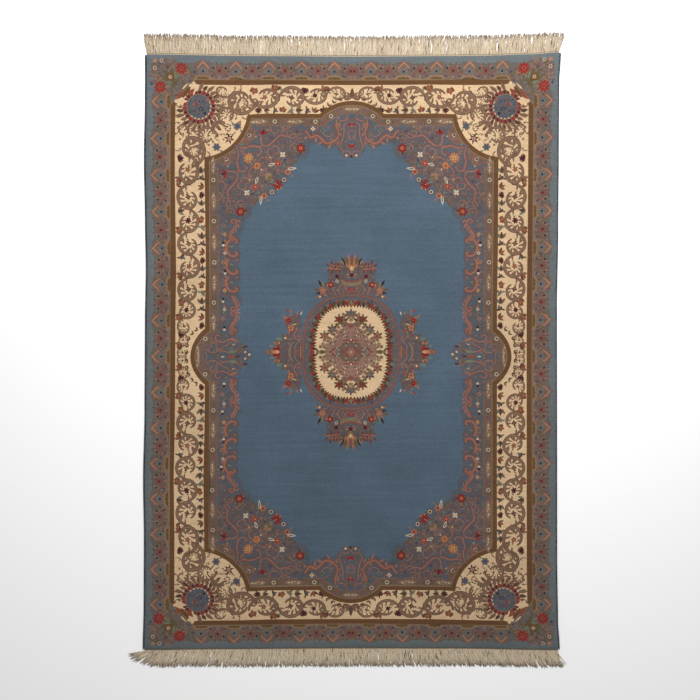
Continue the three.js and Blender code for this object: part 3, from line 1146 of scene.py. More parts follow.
@dataclass(frozen=True)
class Medallion:
    """The central medallion: an ivory oval with a wreath, a double line round it and four sprays."""

    ivory: tuple[float, float] = (192.0, 240.0)
    line: tuple[float, float] = (243.0, 284.0)
    squareness: float = 2.7
    teeth: int = 23
    wreath_edge: tuple[complex, ...] = (
        112, 108+20j, 94+30j, 94+46j, 78+54j, 70+74j, 52+82j, 50+104j, 32+112j, 26+130j, 136j,
    )
    end_cloud: tuple[complex, ...] = (
        284j, 44+284j, 92+276j, 146+258j, 166+284j, 150+322j, 122+334j, 112+372j, 118+400j, 96+432j,
        52+436j, 26+462j, 468j,
    )
    side_cloud: tuple[complex, ...] = (
        248, 248+80j, 236+130j, 250+184j, 300+180j, 322+140j, 306+96j, 344+58j, 372+34j, 392,
    )

    def ring(self, chart: Chart) -> None:
        """Lays the double line, the greyed ring inside it and the ivory with its toothed rim."""
        across, up = self.line
        for step, dye in ((0, ROSE), (4, SLATE), (7, FERN), (12, ROSE), (15, SLATE)):
            chart.add(inside(oval(across - step, up - step, 2.45), dye))
        belt = [
            *oval(across - 16, up - 16, 2.45),
            *oval(self.ivory[0] + 8, self.ivory[1] + 8, self.squareness)[::-1]
        ]
        chart.add(*thicket(belt, 22, 21))
        rim = oval(*self.ivory, self.squareness, 40)
        for step, dye in ((5, BARK), (-4, IVORY)):
            chart.add(inside(oval(self.ivory[0] + step, self.ivory[1] + step, self.squareness), dye))
        line = np.array(rim)
        lengths = np.concatenate([[0], np.cumsum(np.abs(np.diff(line)))])
        dyes = (RUST, OLIVE, BARK, SAGE, WINE, BARK)
        for k in range(self.teeth):
            place = lengths[-1] * (k + 0.5) / self.teeth
            at, ahead = (
                complex(np.interp(s, lengths, line.real), np.interp(s, lengths, line.imag))
                for s in (place, place + 4)
            )
            heading = math.degrees(cmath.phase(ahead - at))
            chart.add(
                leaf(26, 14, dyes[(k + 2) % 6], at, heading + 62, 0.2),
                leaf(22, 11, dyes[(k + 3) % 6], at, heading + 125, -0.2)
            )
            chart.add(leaf(17, 11, dyes[k % 6], at, heading - 75, 0.2))
            if k % 5 == 1:
                chart.put(blossom(11, 5, RED, WINE, ORANGE), at)
        chart.add(leaf(24, 13, SALMON, 232j, 90), leaf(19, 7, SAGE, 230j, 56, -0.2))

    def wreath(self, chart: Chart) -> None:
        """Lays the diamond of leaves and flowers on the ivory."""
        mass = (0j, *(complex(1.14 * p.real, 1.05 * p.imag) for p in self.wreath_edge))
        dyes = (TAN, OLIVE, CLAY, FERN, TAN, FERN)
        for row, wide in enumerate((1.42, 1.24)):
            for k, p in enumerate(self.wreath_edge):
                at = complex(
                    (wide - 0.06 * (k % 2)) * p.real, (0.28 + 0.7 * wide) * p.imag
                ) + 7 * (row + k) % 3
                chart.add(star(
                    5, 14 - 2 * (k % 2), 0.5, dyes[(k + 2 * row) % 6], 40 * k + 70 * row, at, False
                ))
        leafy = ((BARK, PALE), (SALMON, BARK), (OLIVE, PALE), (FERN, ROSE))
        core = (0j, 78, 70+16j, 52+24j, 46+38j, 30+48j, 54j)
        chart.add(Patch(mass, CLAY), Patch(core, MAUVE), *thicket(mass, 21, 31, leafy))
        chart.put([*blossom(22, 8, SALMON, TAN, PALE, rim=ROSE)])
        chart.add(Patch((50j, 20+52j, 30+58j, 20+64j, 66j), ROSE), Patch((54j, 14+56j, 14+60j, 61j), RED))
        chart.add(leaf(26, 15, ROSE, 118j, 48))
        chart.add(*(leaf(38, 16, MAUVE, 176j, a, b) for a, b in ((90, 0), (52, -0.2), (20, -0.2))))
        chart.add(leaf(22, 9, SLATE, 184j, 90), leaf(22, 9, SLATE, 184j, 50))
        for x, y, size, petal, heart, rim in (
            (56, 158, 13, RED, WINE, BARK), (90, 110, 13, SLATE, TAN, FERN),
            (127, 77, 14, SALMON, RED, FERN), (34, 146, 8, TAN, ROSE, FERN),
        ):
            turns = ((200, FERN), (330, OLIVE), (75, FERN), (130, BARK), (20, BARK), (270, FERN))
            chart.add(*strewn([(x, y, turn, 30, dye) for turn, dye in turns], 0.5))
            chart.put(blossom(size, 5, petal, heart, rim=rim), complex(x, y))
        chart.add(*strewn(
            (
                (22, 0, 0, 30, ROSE), (56, 4, 20, 22, SAGE), (92, 4, 120, 26, ROSE), (0, 124, 90, 16, RED),
                (8, 158, 60, 26, FERN), (22, 168, 40, 24, FERN), (42, 176, 100, 18, OLIVE),
                (120, 0, 0, 36, OLIVE), (158, 2, 38, 28, OLIVE), (176, 0, 0, 24, RED),
            ),
            0.48
        ))
        chart.add(*spots(((95, 0, 7, ROSE), (14, 62, 5, SALMON), (0, 60, 5, PALE))))

    def end_spray(self, chart: Chart) -> None:
        """Lays the bouquet above the oval."""
        chart.add(Patch(self.end_cloud, DUSK), *thicket(self.end_cloud, 23, 41))
        chart.add(Patch((272j, 52+270j, 62+276j, 52+282j, 286j), ROSE))
        chart.add(leaf(24, 14, RED, 292j, 35), leaf(24, 14, RED, 292j, 90))
        arch = (318j, 24+320j, 46+330j, 52+342j, 40+338j, 22+332j, 330j)
        chart.add(*(
            Patch(tuple(p + 9j * k for p in arch), dye) for k, dye in enumerate((SAGE, TAN, ROSE, DUSK))
        ))
        chart.add(*curls(
            (140, C_BENDS, 8, 58+312j, 118), (120, S_BENDS, 8, 84+296j, 20), (84, C_BENDS, 7, 30+306j, 60)
        ))
        chart.add(*strewn(
            (
                (128, 300, 20, 34, SAGE), (140, 316, 50, 40, INK), (132, 310, 62, 36, SAGE),
                (150, 296, 10, 38, OLIVE), (146, 288, 345, 30, INK), (150, 276, 320, 28, SALMON),
                (128, 318, 80, 26, OLIVE), (118, 316, 120, 30, PALE), (160, 268, 290, 24, OLIVE),
                (136, 282, 200, 26, SALMON), (0, 378, 90, 24, ORANGE), (26, 372, 160, 22, SALMON),
                (62, 380, 70, 24, SALMON), (12, 384, 60, 28, OLIVE),
            ),
            0.34, 0.12
        ))
        chart.put(blossom(18, 5, SALMON, ORANGE, WINE, rim=ROSE), 138+298j)
        chart.put(blossom(15, 6, RED, ORANGE, rim=WINE), 101+326j)
        chart.put(ringed(8, PALE, SAGE, SLATE), 70+343j)
        chart.add(*(disc(10, WINE, place) for place in (373j, 71+366j)))
        for at, size in ((96+412j, 38), (64+408j, 26)):
            chart.put(
                [leaf(size, 11, (MAUVE, ROSE, SALMON)[k % 3], 0j, 60 * k + 20, 0.3) for k in range(6)], at
            )
            chart.put(
                [*ringed(9, SALMON, ROSE, NAVY), *fan(12, 0, 300, 6, (size - 10,), 5, (WINE,), 40)], at
            )
        petals = ((-44, SALMON), (-22, ORANGE), (0, ROSE))
        chart.add(*(leaf(50, 18, dye, 404j, 90 + lean, lean / 220) for lean, dye in petals))
        chart.put([star(5, 17, 0.45, GOLD, round_tips=False), disc(5.5, PALE)], 407j)
        chart.add(*strewn(
            (
                (14, 420, 62, 50, OLIVE), (30, 420, 56, 44, INK), (38, 424, 52, 32, TAN),
                (8, 440, 70, 38, SALMON), (46, 404, 30, 26, OLIVE),
            ),
            0.3, 0.12
        ))
        chart.add(*spots(((152, 268, 7, ORANGE), (152, 268, 4, IVORY))))

    def side_spray(self, chart: Chart) -> None:
        """Lays the bouquet beside the oval."""
        chart.add(Patch(self.side_cloud, DUSK), *thicket(self.side_cloud, 23, 51))
        chart.add(
            Patch((232, 250, 250+30j, 246+36j, 236+36j, 232+30j), ROSE),
            Patch((236, 246, 246+28j, 236+28j), ORANGE)
        )
        chart.add(*curls(
            (140, C_BENDS, 8, 272+70j, 60), (110, S_BENDS, 8, 262+42j, 96), (70, C_BENDS, 7, 298+62j, 350)
        ))
        crescent = (302, 300+20j, 292+36j, 282+46j, 278+42j, 286+30j, 290+18j, 291)
        chart.add(*(
            Patch(tuple(p + shift for p in crescent), dye)
            for shift, dye in ((6, ROSE), (2, SAGE), (-3, TAN), (-7, DUSK))
        ))
        chart.put([star(5, 16, 0.4, ROSE, 0, 0j, False), disc(4, SALMON, points=6)], 272+0j)
        chart.add(*strewn(
            (
                (318, 70, 40, 34, OLIVE), (330, 56, 20, 38, SAGE), (342, 42, 10, 40, OLIVE),
                (352, 32, 30, 34, SALMON), (360, 20, 12, 42, SAGE), (300, 84, 70, 26, SALMON),
                (350, 50, 60, 26, SAGE), (262, 92, 110, 26, ROSE), (380, 8, 350, 30, SALMON),
                (318, 158, 50, 30, SALMON), (286, 128, 150, 26, GOLD), (246, 178, 110, 22, PALE),
                (262, 176, 90, 26, SALMON), (286, 188, 46, 26, SALMON), (298, 194, 24, 26, ROSE),
            ),
            0.34, 0.12
        ))
        for turn, dye in ((62, RED), (28, WINE), (14, RED), (0, ORANGE)):
            chart.add(leaf(42, 17, dye, 344, turn, 0.1))
        chart.put(
            [leaf(32, 17, ROSE, 0j, 0), leaf(24, 9, SALMON, 0j, 0), leaf(20, 8, OLIVE, 0j, 50, 0.2)], 390+0j
        )
        for x, y, petal in ((303, 153, RED), (292, 115, ORANGE)):
            dyes = (SALMON, OLIVE, ORANGE, SAGE)
            chart.add(*strewn([(x, y, 300 + 50 * k, 24, dye) for k, dye in enumerate(dyes)]))
            chart.put(blossom(15, 5, petal, WINE, ORANGE, rim=ROSE), complex(x, y))
        chart.put(ringed(7, SLATE, TAN, NAVY), 254+136j)
        chart.add(*spots((
            (320, 68, 7, ORANGE), (320, 68, 4, IVORY), (350, 44, 5.5, ORANGE), (356, 0, 7, IVORY),
            (356, 0, 4, SALMON),
        )))

    def draw(self, chart: Chart) -> None:
        """Lays the medallion on the chart."""
        self.end_spray(chart)
        self.side_spray(chart)
        self.ring(chart)
        self.wreath(chart)


def charted() -> Motif:
    """The quarter's patches, from the outermost band to the medallion, lowest first."""
    chart = Chart()
    for part in (
        OuterGuard(), IvoryBorder(), CornerLobe(), InnerGuard(), FieldRim(), Spandrel(), Medallion()
    ):
        part.draw(chart)
    return chart.patches


# how near two points of the map may lie, how far off an edge or a straight line still counts as on it,
# and how much more than twice its own area a patch may cover before it is a leak
NEAREST, SNAP, STRAIGHT, LEAK = 0.04, 0.08, 0.03, 500


@dataclass
class KnotMap:
    """The chart as a flat map of triangles of one dye each, in millimetres."""

    points: Array
    triangles: Array
    dyes: Array
    in_field: Array

    @classmethod
    def quarter(cls, patches: Motif, spacing: float, least_area: float) -> "KnotMap":
        """Cuts the quarter's patches along each other's outlines.

        Args:
            patches: the chart, lowest patch first.
            spacing: of the points between the outlines.
            least_area: patches smaller than this are left out, in square millimetres.

        Returns:
            The map.
        """
        far = complex(HALF_WIDTH, HALF_LENGTH)
        ground = Patch((0j, complex(far.real), far, 1j * far.imag), STEEL)
        points: list[complex] = []
        faces, chosen, sizes = [], [], []
        for patch in (ground, *patches):
            line = np.array(patch.outline)
            area = 0.5 * float(np.sum(
                line.real * np.roll(line.imag, -1) - np.roll(line.real, -1) * line.imag
            ))
            if abs(area) < least_area:
                continue
            faces.append(list(range(len(points), len(points) + len(line))))
            points.extend(patch.outline if area > 0 else patch.outline[::-1])
            chosen.append(patch)
            sizes.append(abs(area))
        flat = [Vector((p.real, p.imag)) for p in points]
        verts, _, triangles, _, _, sources = delaunay_2d_cdt(flat, [], faces, 1, NEAREST, True)
        places = np.array([v[:] for v in verts])
        kept = [k for k, source in enumerate(sources) if 0 in source]
        covered = np.zeros(len(faces))
        for k in kept:
            a, b, c = places[triangles[k]]
            covered[list(sources[k])] += 0.5 * abs((b[0] - a[0]) * (c[1] - a[1]) - (c[0] - a[0]) * (
                b[1] - a[1]
            ))
        leaks = set(np.flatnonzero(covered > 2 * np.array(sizes) + LEAK).tolist())
        owners = [max(set(sources[k]) - leaks) for k in kept]
        open_field = next(k for k, patch in enumerate(chosen) if patch.dye is FIELD)
        order = list(Dye)
        made = cls(
            places, np.array([triangles[k] for k in kept]),
            np.array([order.index(chosen[owner].dye) for owner in owners]),
            np.array([open_field in sources[k] for k in kept]),
        )
        across, up = (np.linspace(0, size, round(size / spacing) + 1) for size in (far.real, far.imag))
        made.snap()
        made = made.merged([Vector((x, y)) for x in across for y in up])
        made.snap()
        return made

    def snap(self) -> None:
        """Moves the points that nearly lie on an edge of the quarter onto it."""
        for axis, far in enumerate((HALF_WIDTH, HALF_LENGTH)):
            for edge in (0.0, far):
                self.points[np.abs(self.points[:, axis] - edge) < SNAP, axis] = edge

    def merged(self, grid: list[Vector]) -> "KnotMap":
        """The same map without the lines that are hidden below other patches.

        Args:
            grid: points that the new triangles have between the pattern's lines.

        Returns:
            The new map.
        """
        edges = np.sort(
            np.concatenate([self.triangles[:, pair] for pair in ([0, 1], [1, 2], [2, 0])]), axis=1
        )
        sort = np.tile(self.dyes * 2 + self.in_field, 3)
        keys, index, counts = np.unique(edges, axis=0, return_inverse=True, return_counts=True)
        index = index.ravel()
        high, low = np.full(len(keys), -1), np.full(len(keys), 10**6)
        np.maximum.at(high, index, sort)
        np.minimum.at(low, index, sort)
        links: dict[int, set[int]] = {}
        for a, b in keys[(counts == 1) | (high != low)].tolist():
            links.setdefault(a, set()).add(b)
            links.setdefault(b, set()).add(a)
        flat = [complex(x, y) for x, y in self.points]
        for point in list(links):
            if len(links[point]) != 2:
                continue
            a, b = sorted(links[point])
            reach = flat[b] - flat[a]
            off = abs(((flat[point] - flat[a]) * reach.conjugate()).imag) / max(abs(reach), 1e-9)
            if off < STRAIGHT and b not in links[a]:
                links[a].remove(point)
                links[b].remove(point)
                links[a].add(b)
                links[b].add(a)
                del links[point]
        order = {point: k for k, point in enumerate(sorted(links))}
        lines = [(order[a], order[b]) for a in order for b in links[a] if a < b]
        spots = [Vector(self.points[point]) for point in order] + grid
        verts, _, triangles, *_ = delaunay_2d_cdt(spots, lines, [], 0, NEAREST, True)
        points = np.array([v[:] for v in verts])
        corners = np.array(triangles)
        tree = BVHTree.FromPolygons([(x, y, 0.0) for x, y in self.points], self.triangles.tolist())
        owners = np.array([tree.find_nearest((x, y, 0.0))[2] for x, y in points[corners].mean(axis=1)])
        return KnotMap(points, corners, self.dyes[owners], self.in_field[owners])

    def mirrored(self) -> "KnotMap":
        """The whole rug: four mirrored quarters, joined along the middle lines."""
        signs = ((1, 1), (-1, 1), (-1, -1), (1, -1))
        points = np.concatenate([self.points * np.array(sign) for sign in signs])
        turned = [self.triangles if x * y > 0 else self.triangles[:, ::-1] for x, y in signs]
        corners = np.concatenate([triangles + k * len(self.points) for k, triangles in enumerate(turned)])
        _, first, index = np.unique(
            np.round(points, 3) + 0.0, axis=0, return_index=True, return_inverse=True
        )
        return KnotMap(
            points[first], index.ravel()[corners], np.tile(self.dyes, 4), np.tile(self.in_field, 4)
        )

    def part(self, chosen: Array) -> "KnotMap":
        """The map's chosen triangles only."""
        used, index = np.unique(self.triangles[chosen], return_inverse=True)
        return KnotMap(self.points[used], index.reshape(-1, 3), self.dyes[chosen], self.in_field[chosen])

    def rim(self) -> Array:
        """The edges that only one triangle has, each in its triangle's direction."""
        edges = np.concatenate([self.triangles[:, [a, b]] for a, b in ((0, 1), (1, 2), (2, 0))])
        keys = np.sort(edges, axis=1)
        _, index, counts = np.unique(keys, axis=0, return_inverse=True, return_counts=True)
        return edges[counts[index.ravel()] == 1]


@dataclass
class RugOutline:
    """The rug's real outline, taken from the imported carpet. The charted rectangle is laid into it."""

    edges: list[Array]  # left, right, bottom and top, as rows of a place from -1 to 1 and a position

    @classmethod
    def of_node(cls, node: Object) -> "RugOutline":
        """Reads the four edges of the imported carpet's underside."""
        corners = np.array([v.co[:] for v in node.data.vertices])
        flat = np.unique(np.round(corners[corners[:, 2] < 0.0005, :2], 6), axis=0)
        edges = []
        # every corner point of an edge lies beyond these, and no others
        for axis, far in ((0, 0.96), (1, 1.405)):
            for sign in (-1, 1):
                line = flat[sign * flat[:, axis] > far]
                line = line[np.argsort(line[:, 1 - axis])]
                along = line[:, 1 - axis]
                places = 2 * (along - along[0]) / (along[-1] - along[0]) - 1
                edges.append(np.column_stack([places, line[:, axis]]))
        return cls(edges)

    def place(self, across: Array, up: Array, inset: float | Array = 0.0) -> tuple[Array, Array]:
        """Where places on the charted rectangle lie on the real rug.

        Args:
            across: from -1 at the left edge to 1 at the right one.
            up: from -1 at the bottom edge to 1 at the top one.
            inset: how far inside the outline the rectangle's own edges lie, in metres.

        Returns:
            The positions in metres, across and along.
        """
        left, right, bottom, top = (
            np.interp(at, edge[:, 0], edge[:, 1]) - way * inset
            for edge, at, way in zip(self.edges, (up, up, across, across), (-1, 1, -1, 1))
        )
        return left + (right - left) * (across + 1) / 2, bottom + (top - bottom) * (up + 1) / 2


def linked(name: str, data: ID) -> Object:
    """A new object in the scene."""
    made = bpy.data.objects.new(name, data)
    bpy.context.scene.collection.objects.link(made)
    return made


def new_piece(name: str, vertices: Array, faces: Sequence[Sequence[int]], material: Material) -> Object:
    """A mesh object at the origin with one material.

    Args:
        name: the piece's name.
        vertices: their positions in metres.
        faces: their corners.
        material: what it is made of.

    Returns:
        The object, linked to the scene.
    """
    mesh = bpy.data.meshes.new(name)
    mesh.from_pydata([tuple(map(float, v)) for v in vertices], [], [list(map(int, f)) for f in faces])
    mesh.materials.append(material)
    mesh.shade_smooth()
    return linked(name, mesh)


@dataclass
class PileSurface:
    """The carpet's pile: the chart laid into the real outline, with a rounded rim down to the floor."""

    knots: KnotMap
    outline: RugOutline
    height: float = 10.6 * MM
    swell: float = 0.35 * MM
    rim: Rows = ((3.0, 10.6), (1.2, 9.7), (0.2, 7.6), (0.0, 4.0), (0.0, 0.0))
    map_margin: float = 0.012
    edge_width: float = 0.01  # points nearer than this to the chart's edge are on it, in millimetres

    def lie(self, x: Array, y: Array) -> Array:
        """How far the pile's surface stands above or below its mean height."""
        wave = 0.5 * np.sin(x * 5.1 + 1.3 * np.sin(y * 2.3)) + 0.3 * np.sin(y * 7.7 + 1.9 * np.sin(x * 3.1))
        return self.swell * (wave + 0.2 * np.sin(x * 11 - y * 9))

    def laid(self, knots: KnotMap) -> Array:
        """The map's points on the real rug, at the pile's height."""
        across, up = (knots.points / (HALF_WIDTH, HALF_LENGTH)).T
        x, y = self.outline.place(across, up, self.rim[0][0] * MM)
        return np.column_stack([x, y, self.height + self.lie(x, y)])

    def dress(self, piece: Object, dyes: Array, uvs: Array) -> None:
        """Gives a piece its dyes, face by face, and its flat map.

        Args:
            piece: the piece.
            dyes: each face's dye, as its place in Dye.
            uvs: each vertex's place on the flat map.
        """
        mesh = piece.data
        table = np.array([linear_colour(dye.value) for dye in Dye])
        totals = np.zeros(len(mesh.polygons), int)
        mesh.polygons.foreach_get("loop_total", totals)
        colours = np.repeat(table[dyes], totals, axis=0)
        mesh.attributes.new("dye", "FLOAT_COLOR", "CORNER").data.foreach_set("color", colours.ravel())
        corners = np.zeros(len(mesh.loops), int)
        mesh.loops.foreach_get("vertex_index", corners)
        mesh.uv_layers.new(name="OFBake").data.foreach_set("uv", uvs[corners].ravel())

    def build(self, name: str, chosen: Array, material: Material, with_rim: bool) -> Object:
        """Makes one part of the pile.

        Args:
            name: the piece's name.
            chosen: which of the map's triangles it has.
            material: the wool.
            with_rim: whether the part runs down to the floor at the rug's edges.

        Returns:
            The piece.
        """
        part = self.knots.part(chosen)
        vertices = self.laid(part)
        margin = self.map_margin if with_rim else 0.0
        low, high = part.points.min(axis=0), part.points.max(axis=0)
        uvs = margin + (part.points - low) / (high - low) * (1 - 2 * margin)
        faces = part.triangles.tolist()
        dyes = part.dyes.tolist()
        if with_rim:
            edge_of = np.array([HALF_WIDTH, HALF_LENGTH]) - self.edge_width
            outer = (np.abs(part.points) >= edge_of).any(axis=1)
            edges = [(a, b) for a, b in part.rim() if outer[a] and outer[b]]
            ring = sorted({int(i) for edge in edges for i in edge})
            at = {vertex: k for k, vertex in enumerate(ring)}
            places = part.points[ring] / (HALF_WIDTH, HALF_LENGTH)
            out = np.where(np.abs(part.points[ring]) >= edge_of, np.sign(part.points[ring]), 0.0)
            rows = [ring]
            for step, (inset, height) in enumerate(self.rim[1:], start=1):
                x, y = self.outline.place(*places.T, inset * MM)
                rows.append(range(len(vertices), len(vertices) + len(ring)))
                vertices = np.concatenate([
                    vertices, np.column_stack([x, y, np.full(len(ring), height * MM)])
                ])
                uvs = np.concatenate([uvs, uvs[ring] + out * margin * step / len(self.rim)])
            for low, high in zip(rows, rows[1:]):
                for a, b in edges:
                    faces.append([low[at[b]], low[at[a]], high[at[a]], high[at[b]]])
                    dyes.append(list(Dye).index(STEEL))
        piece = new_piece(name, vertices, faces, material)
        self.dress(piece, np.array(dyes), uvs)
        return piece


Wire = float | Sequence[float] | str | NodeSocket


@dataclass
class Tree:
    """Adds and joins nodes in one node tree."""

    nodes: NodeTree

    def add(self, kind: str, wires: dict[str | int, Wire] | None = None, **settings: object) -> Node:
        """Adds a node.

        Args:
            kind: the node's type.
            wires: what goes into its inputs, a value or another node's output.
            settings: its properties.

        Returns:
            The node.
        """
        node = self.nodes.nodes.new(kind)
        for key, value in settings.items():
            setattr(node, key, value)
        for key, value in (wires or {}).items():
            if isinstance(value, NodeSocket):
                self.nodes.links.new(value, node.inputs[key])
            else:
                node.inputs[key].default_value = value
        return node

    def sum(self, kind: str, *values: Wire, **settings: object) -> NodeSocket:
        """The result of a Math node, such as ADD or SINE."""
        return self.add("ShaderNodeMath", dict(enumerate(values)), operation=kind, **settings).outputs[0]

    def vector(self, kind: str, *values: Wire) -> NodeSocket:
        """A Vector Math node's result."""
        node = self.add("ShaderNodeVectorMath", dict(enumerate(values)), operation=kind)
        return node.outputs["Value" if kind in ("LENGTH", "DOT_PRODUCT") else "Vector"]

    def store(self, shape: NodeSocket, name: str, value: NodeSocket, kind: str) -> NodeSocket:
        """A shape whose points keep a value in a named attribute."""
        wires = {"Geometry": shape, "Name": name, "Value": value}
        return self.add(
            "GeometryNodeStoreNamedAttribute", wires, data_type=kind, domain="POINT"
        ).outputs["Geometry"]

    def join(self, x: Wire, y: Wire, z: Wire) -> NodeSocket:
        """A vector of three numbers."""
        return self.add("ShaderNodeCombineXYZ", {0: x, 1: y, 2: z}).outputs[0]

    def spread(self, value: Wire, low: float, high: float) -> NodeSocket:
        """A number from 0 to 1 stretched over a range."""
        return self.add("ShaderNodeMapRange", {"Value": value, "To Min": low, "To Max": high}).outputs[0]

    def dress(
        self, shader: Node, colour: NodeSocket, height: NodeSocket, depth: float, strength: float
    ) -> None:
        """Gives a shader its colour and a relief some millimetres deep."""
        relief = {"Height": height, "Distance": depth * MM, "Strength": strength}
        bump = self.add("ShaderNodeBump", relief).outputs["Normal"]
        for key, value in (("Base Color", colour), ("Normal", bump)):
            self.nodes.links.new(value, shader.inputs[key])


def new_group(
    name: str, kind: str, inputs: dict[str, tuple[str, Wire]], outputs: dict[str, str]
) -> tuple[Tree, NodeOutputs]:
    """An empty node group with named inputs and outputs.

    Args:
        name: the group's name.
        kind: ShaderNodeTree or GeometryNodeTree.
        inputs: each input's kind of socket and starting value, by name.
        outputs: each output's kind of socket, by name.

    Returns:
        The group's tree, and the sockets that bring its inputs.
    """
    group = bpy.data.node_groups.new(name, kind)
    for key, (socket, value) in inputs.items():
        made = group.interface.new_socket(key, in_out="INPUT", socket_type=socket)
        if value is not None:
            made.default_value = value
    for key, socket in outputs.items():
        group.interface.new_socket(key, in_out="OUTPUT", socket_type=socket)
    tree = Tree(group)
    return tree, tree.add("NodeGroupInput").outputs


NUMBER, VECTOR, SHAPE = "NodeSocketFloat", "NodeSocketVector", "NodeSocketGeometry"


def knot_group() -> NodeTree:
    """Rows of knots: a tuft's height and its own shade, at a place on the rug in metres."""
    inputs = {
        "Place": (VECTOR, None), "Across": (NUMBER, 2.6), "Along": (NUMBER, 2.8), "Loose": (NUMBER, 0.5)
    }
    tree, given = new_group("Knots", "ShaderNodeTree", inputs, {"Height": NUMBER, "Shade": NUMBER})
    apart = tree.add("ShaderNodeSeparateXYZ", {0: given["Place"]}).outputs
    column = tree.sum("DIVIDE", tree.sum("MULTIPLY", apart[0], 1 / MM), given["Across"])
    row = tree.sum("DIVIDE", tree.sum("MULTIPLY", apart[1], 1 / MM), given["Along"])
    cells = tree.add(
        "ShaderNodeTexVoronoi",
        {"Vector": tree.join(column, row, 0.0), "Scale": 1.0, "Randomness": given["Loose"]},
        voronoi_dimensions="2D",
    ).outputs
    shade = tree.add("ShaderNodeSeparateColor", {0: cells["Color"]}).outputs[0]
    height = tree.sum("SUBTRACT", 1.0, cells["Distance"], use_clamp=True)
    tree.add("NodeGroupOutput", {"Height": height, "Shade": shade})
    return tree.nodes


def abrash_group() -> NodeTree:
    """The uneven dye: long streaks along the knot rows, and broad faded areas. Both run from 0 to 1."""
    outputs = {"Streaks": NUMBER, "Clouds": NUMBER}
    tree, given = new_group("Abrash", "ShaderNodeTree", {"Place": (VECTOR, None)}, outputs)
    stretched = tree.vector("MULTIPLY", given["Place"], (2.2, 62.0, 1.0))
    noise = {"Scale": 1.0, "Detail": 3.0, "Roughness": 0.6}
    streaks = tree.add("ShaderNodeTexNoise", {"Vector": stretched, **noise}).outputs[0]
    clouds = tree.add("ShaderNodeTexNoise", {"Vector": given["Place"], **noise, "Scale": 3.2}).outputs[0]
    tree.add("NodeGroupOutput", {"Streaks": streaks, "Clouds": clouds})
    return tree.nodes


def ply_group() -> NodeTree:
    """The twist of a yarn, from its attributes along and around: the plies' height, from 0 to 1."""
    tree, given = new_group(
        "Ply", "ShaderNodeTree", {"Pitch": (NUMBER, 6.0), "Plies": (NUMBER, 2.0)}, {"Height": NUMBER}
    )
    around = tree.add("ShaderNodeAttribute", attribute_name="around").outputs["Vector"]
    along = tree.add("ShaderNodeAttribute", attribute_name="along").outputs["Fac"]
    apart = tree.add("ShaderNodeSeparateXYZ", {0: around}).outputs
    angle = tree.sum("ARCTAN2", apart[1], apart[0])
    turned = tree.sum("MULTIPLY", tree.sum("DIVIDE", along, given["Pitch"]), math.tau / MM)
    wave = tree.sum("SINE", tree.sum("MULTIPLY", tree.sum("ADD", angle, turned), given["Plies"]))
    tree.add("NodeGroupOutput", {"Height": tree.sum("ABSOLUTE", wave)})
    return tree.nodes


@dataclass
class Finishes:
    """The node groups that the materials share."""

    knots: NodeTree = field(default_factory=knot_group)
    abrash: NodeTree = field(default_factory=abrash_group)
    ply: NodeTree = field(default_factory=ply_group)


def new_material(name: str, roughness: float, sheen: float) -> tuple[Material, Tree, Node]:
    """A material with a bare Principled shader.

    Args:
        name: the material's name.
        roughness: the same all over.
        sheen: how much the fibres' tips catch the light.

    Returns:
        The material, its tree and its shader.
    """
    material = bpy.data.materials.new(name)
    material.use_nodes = True
    tree = Tree(material.node_tree)
    shader = material.node_tree.nodes["Principled BSDF"]
    values = {
        "Roughness": roughness, "Specular IOR Level": 0.2, "Sheen Weight": sheen, "Sheen Roughness": 0.6
    }
    for key, value in values.items():
        shader.inputs[key].default_value = value
    return material, tree, shader


@dataclass(frozen=True)
class DyedWool:
    """The knotted wool, in the dye that each face carries, darkened in the grooves between the tufts as
    painted shade.
    """

    name: str
    knot_across: float = 2.6  # millimetres
    knot_along: float = 2.8
    loose: float = 0.6
    depth: float = 0.9  # of the grooves between the tufts, in millimetres
    strength: float = 1.0  # the dyes', as a share of what the chart says

    def make(self, shared: Finishes) -> Material:
        """Builds the material from the shared groups."""
        material, tree, shader = new_material(self.name, 0.95, 0.08)
        place = tree.add("ShaderNodeTexCoord").outputs["Object"]
        sizes = {"Place": place, "Across": self.knot_across, "Along": self.knot_along, "Loose": self.loose}
        knots = tree.add("ShaderNodeGroup", sizes, node_tree=shared.knots)
        abrash = tree.add("ShaderNodeGroup", {"Place": place}, node_tree=shared.abrash)
        dye = tree.add("ShaderNodeAttribute", attribute_name="dye").outputs["Color"]
        light = self.strength
        for source, key, low, high in (
            # the tufts' Height factor darkens the grooves between them: painted shade, beside the bump; the
            # other factors vary the yarn's own tone at random
            (knots, "Shade", 0.84, 1.16), (knots, "Height", 0.62, 1.12),
            (abrash, "Streaks", 0.78, 1.22), (abrash, "Clouds", 0.74, 1.26),
        ):
            light = tree.sum("MULTIPLY", light, tree.spread(source.outputs[key], low, high))
        tree.dress(shader, tree.vector("MULTIPLY", dye, light), knots.outputs["Height"], self.depth, 0.7)
        return material


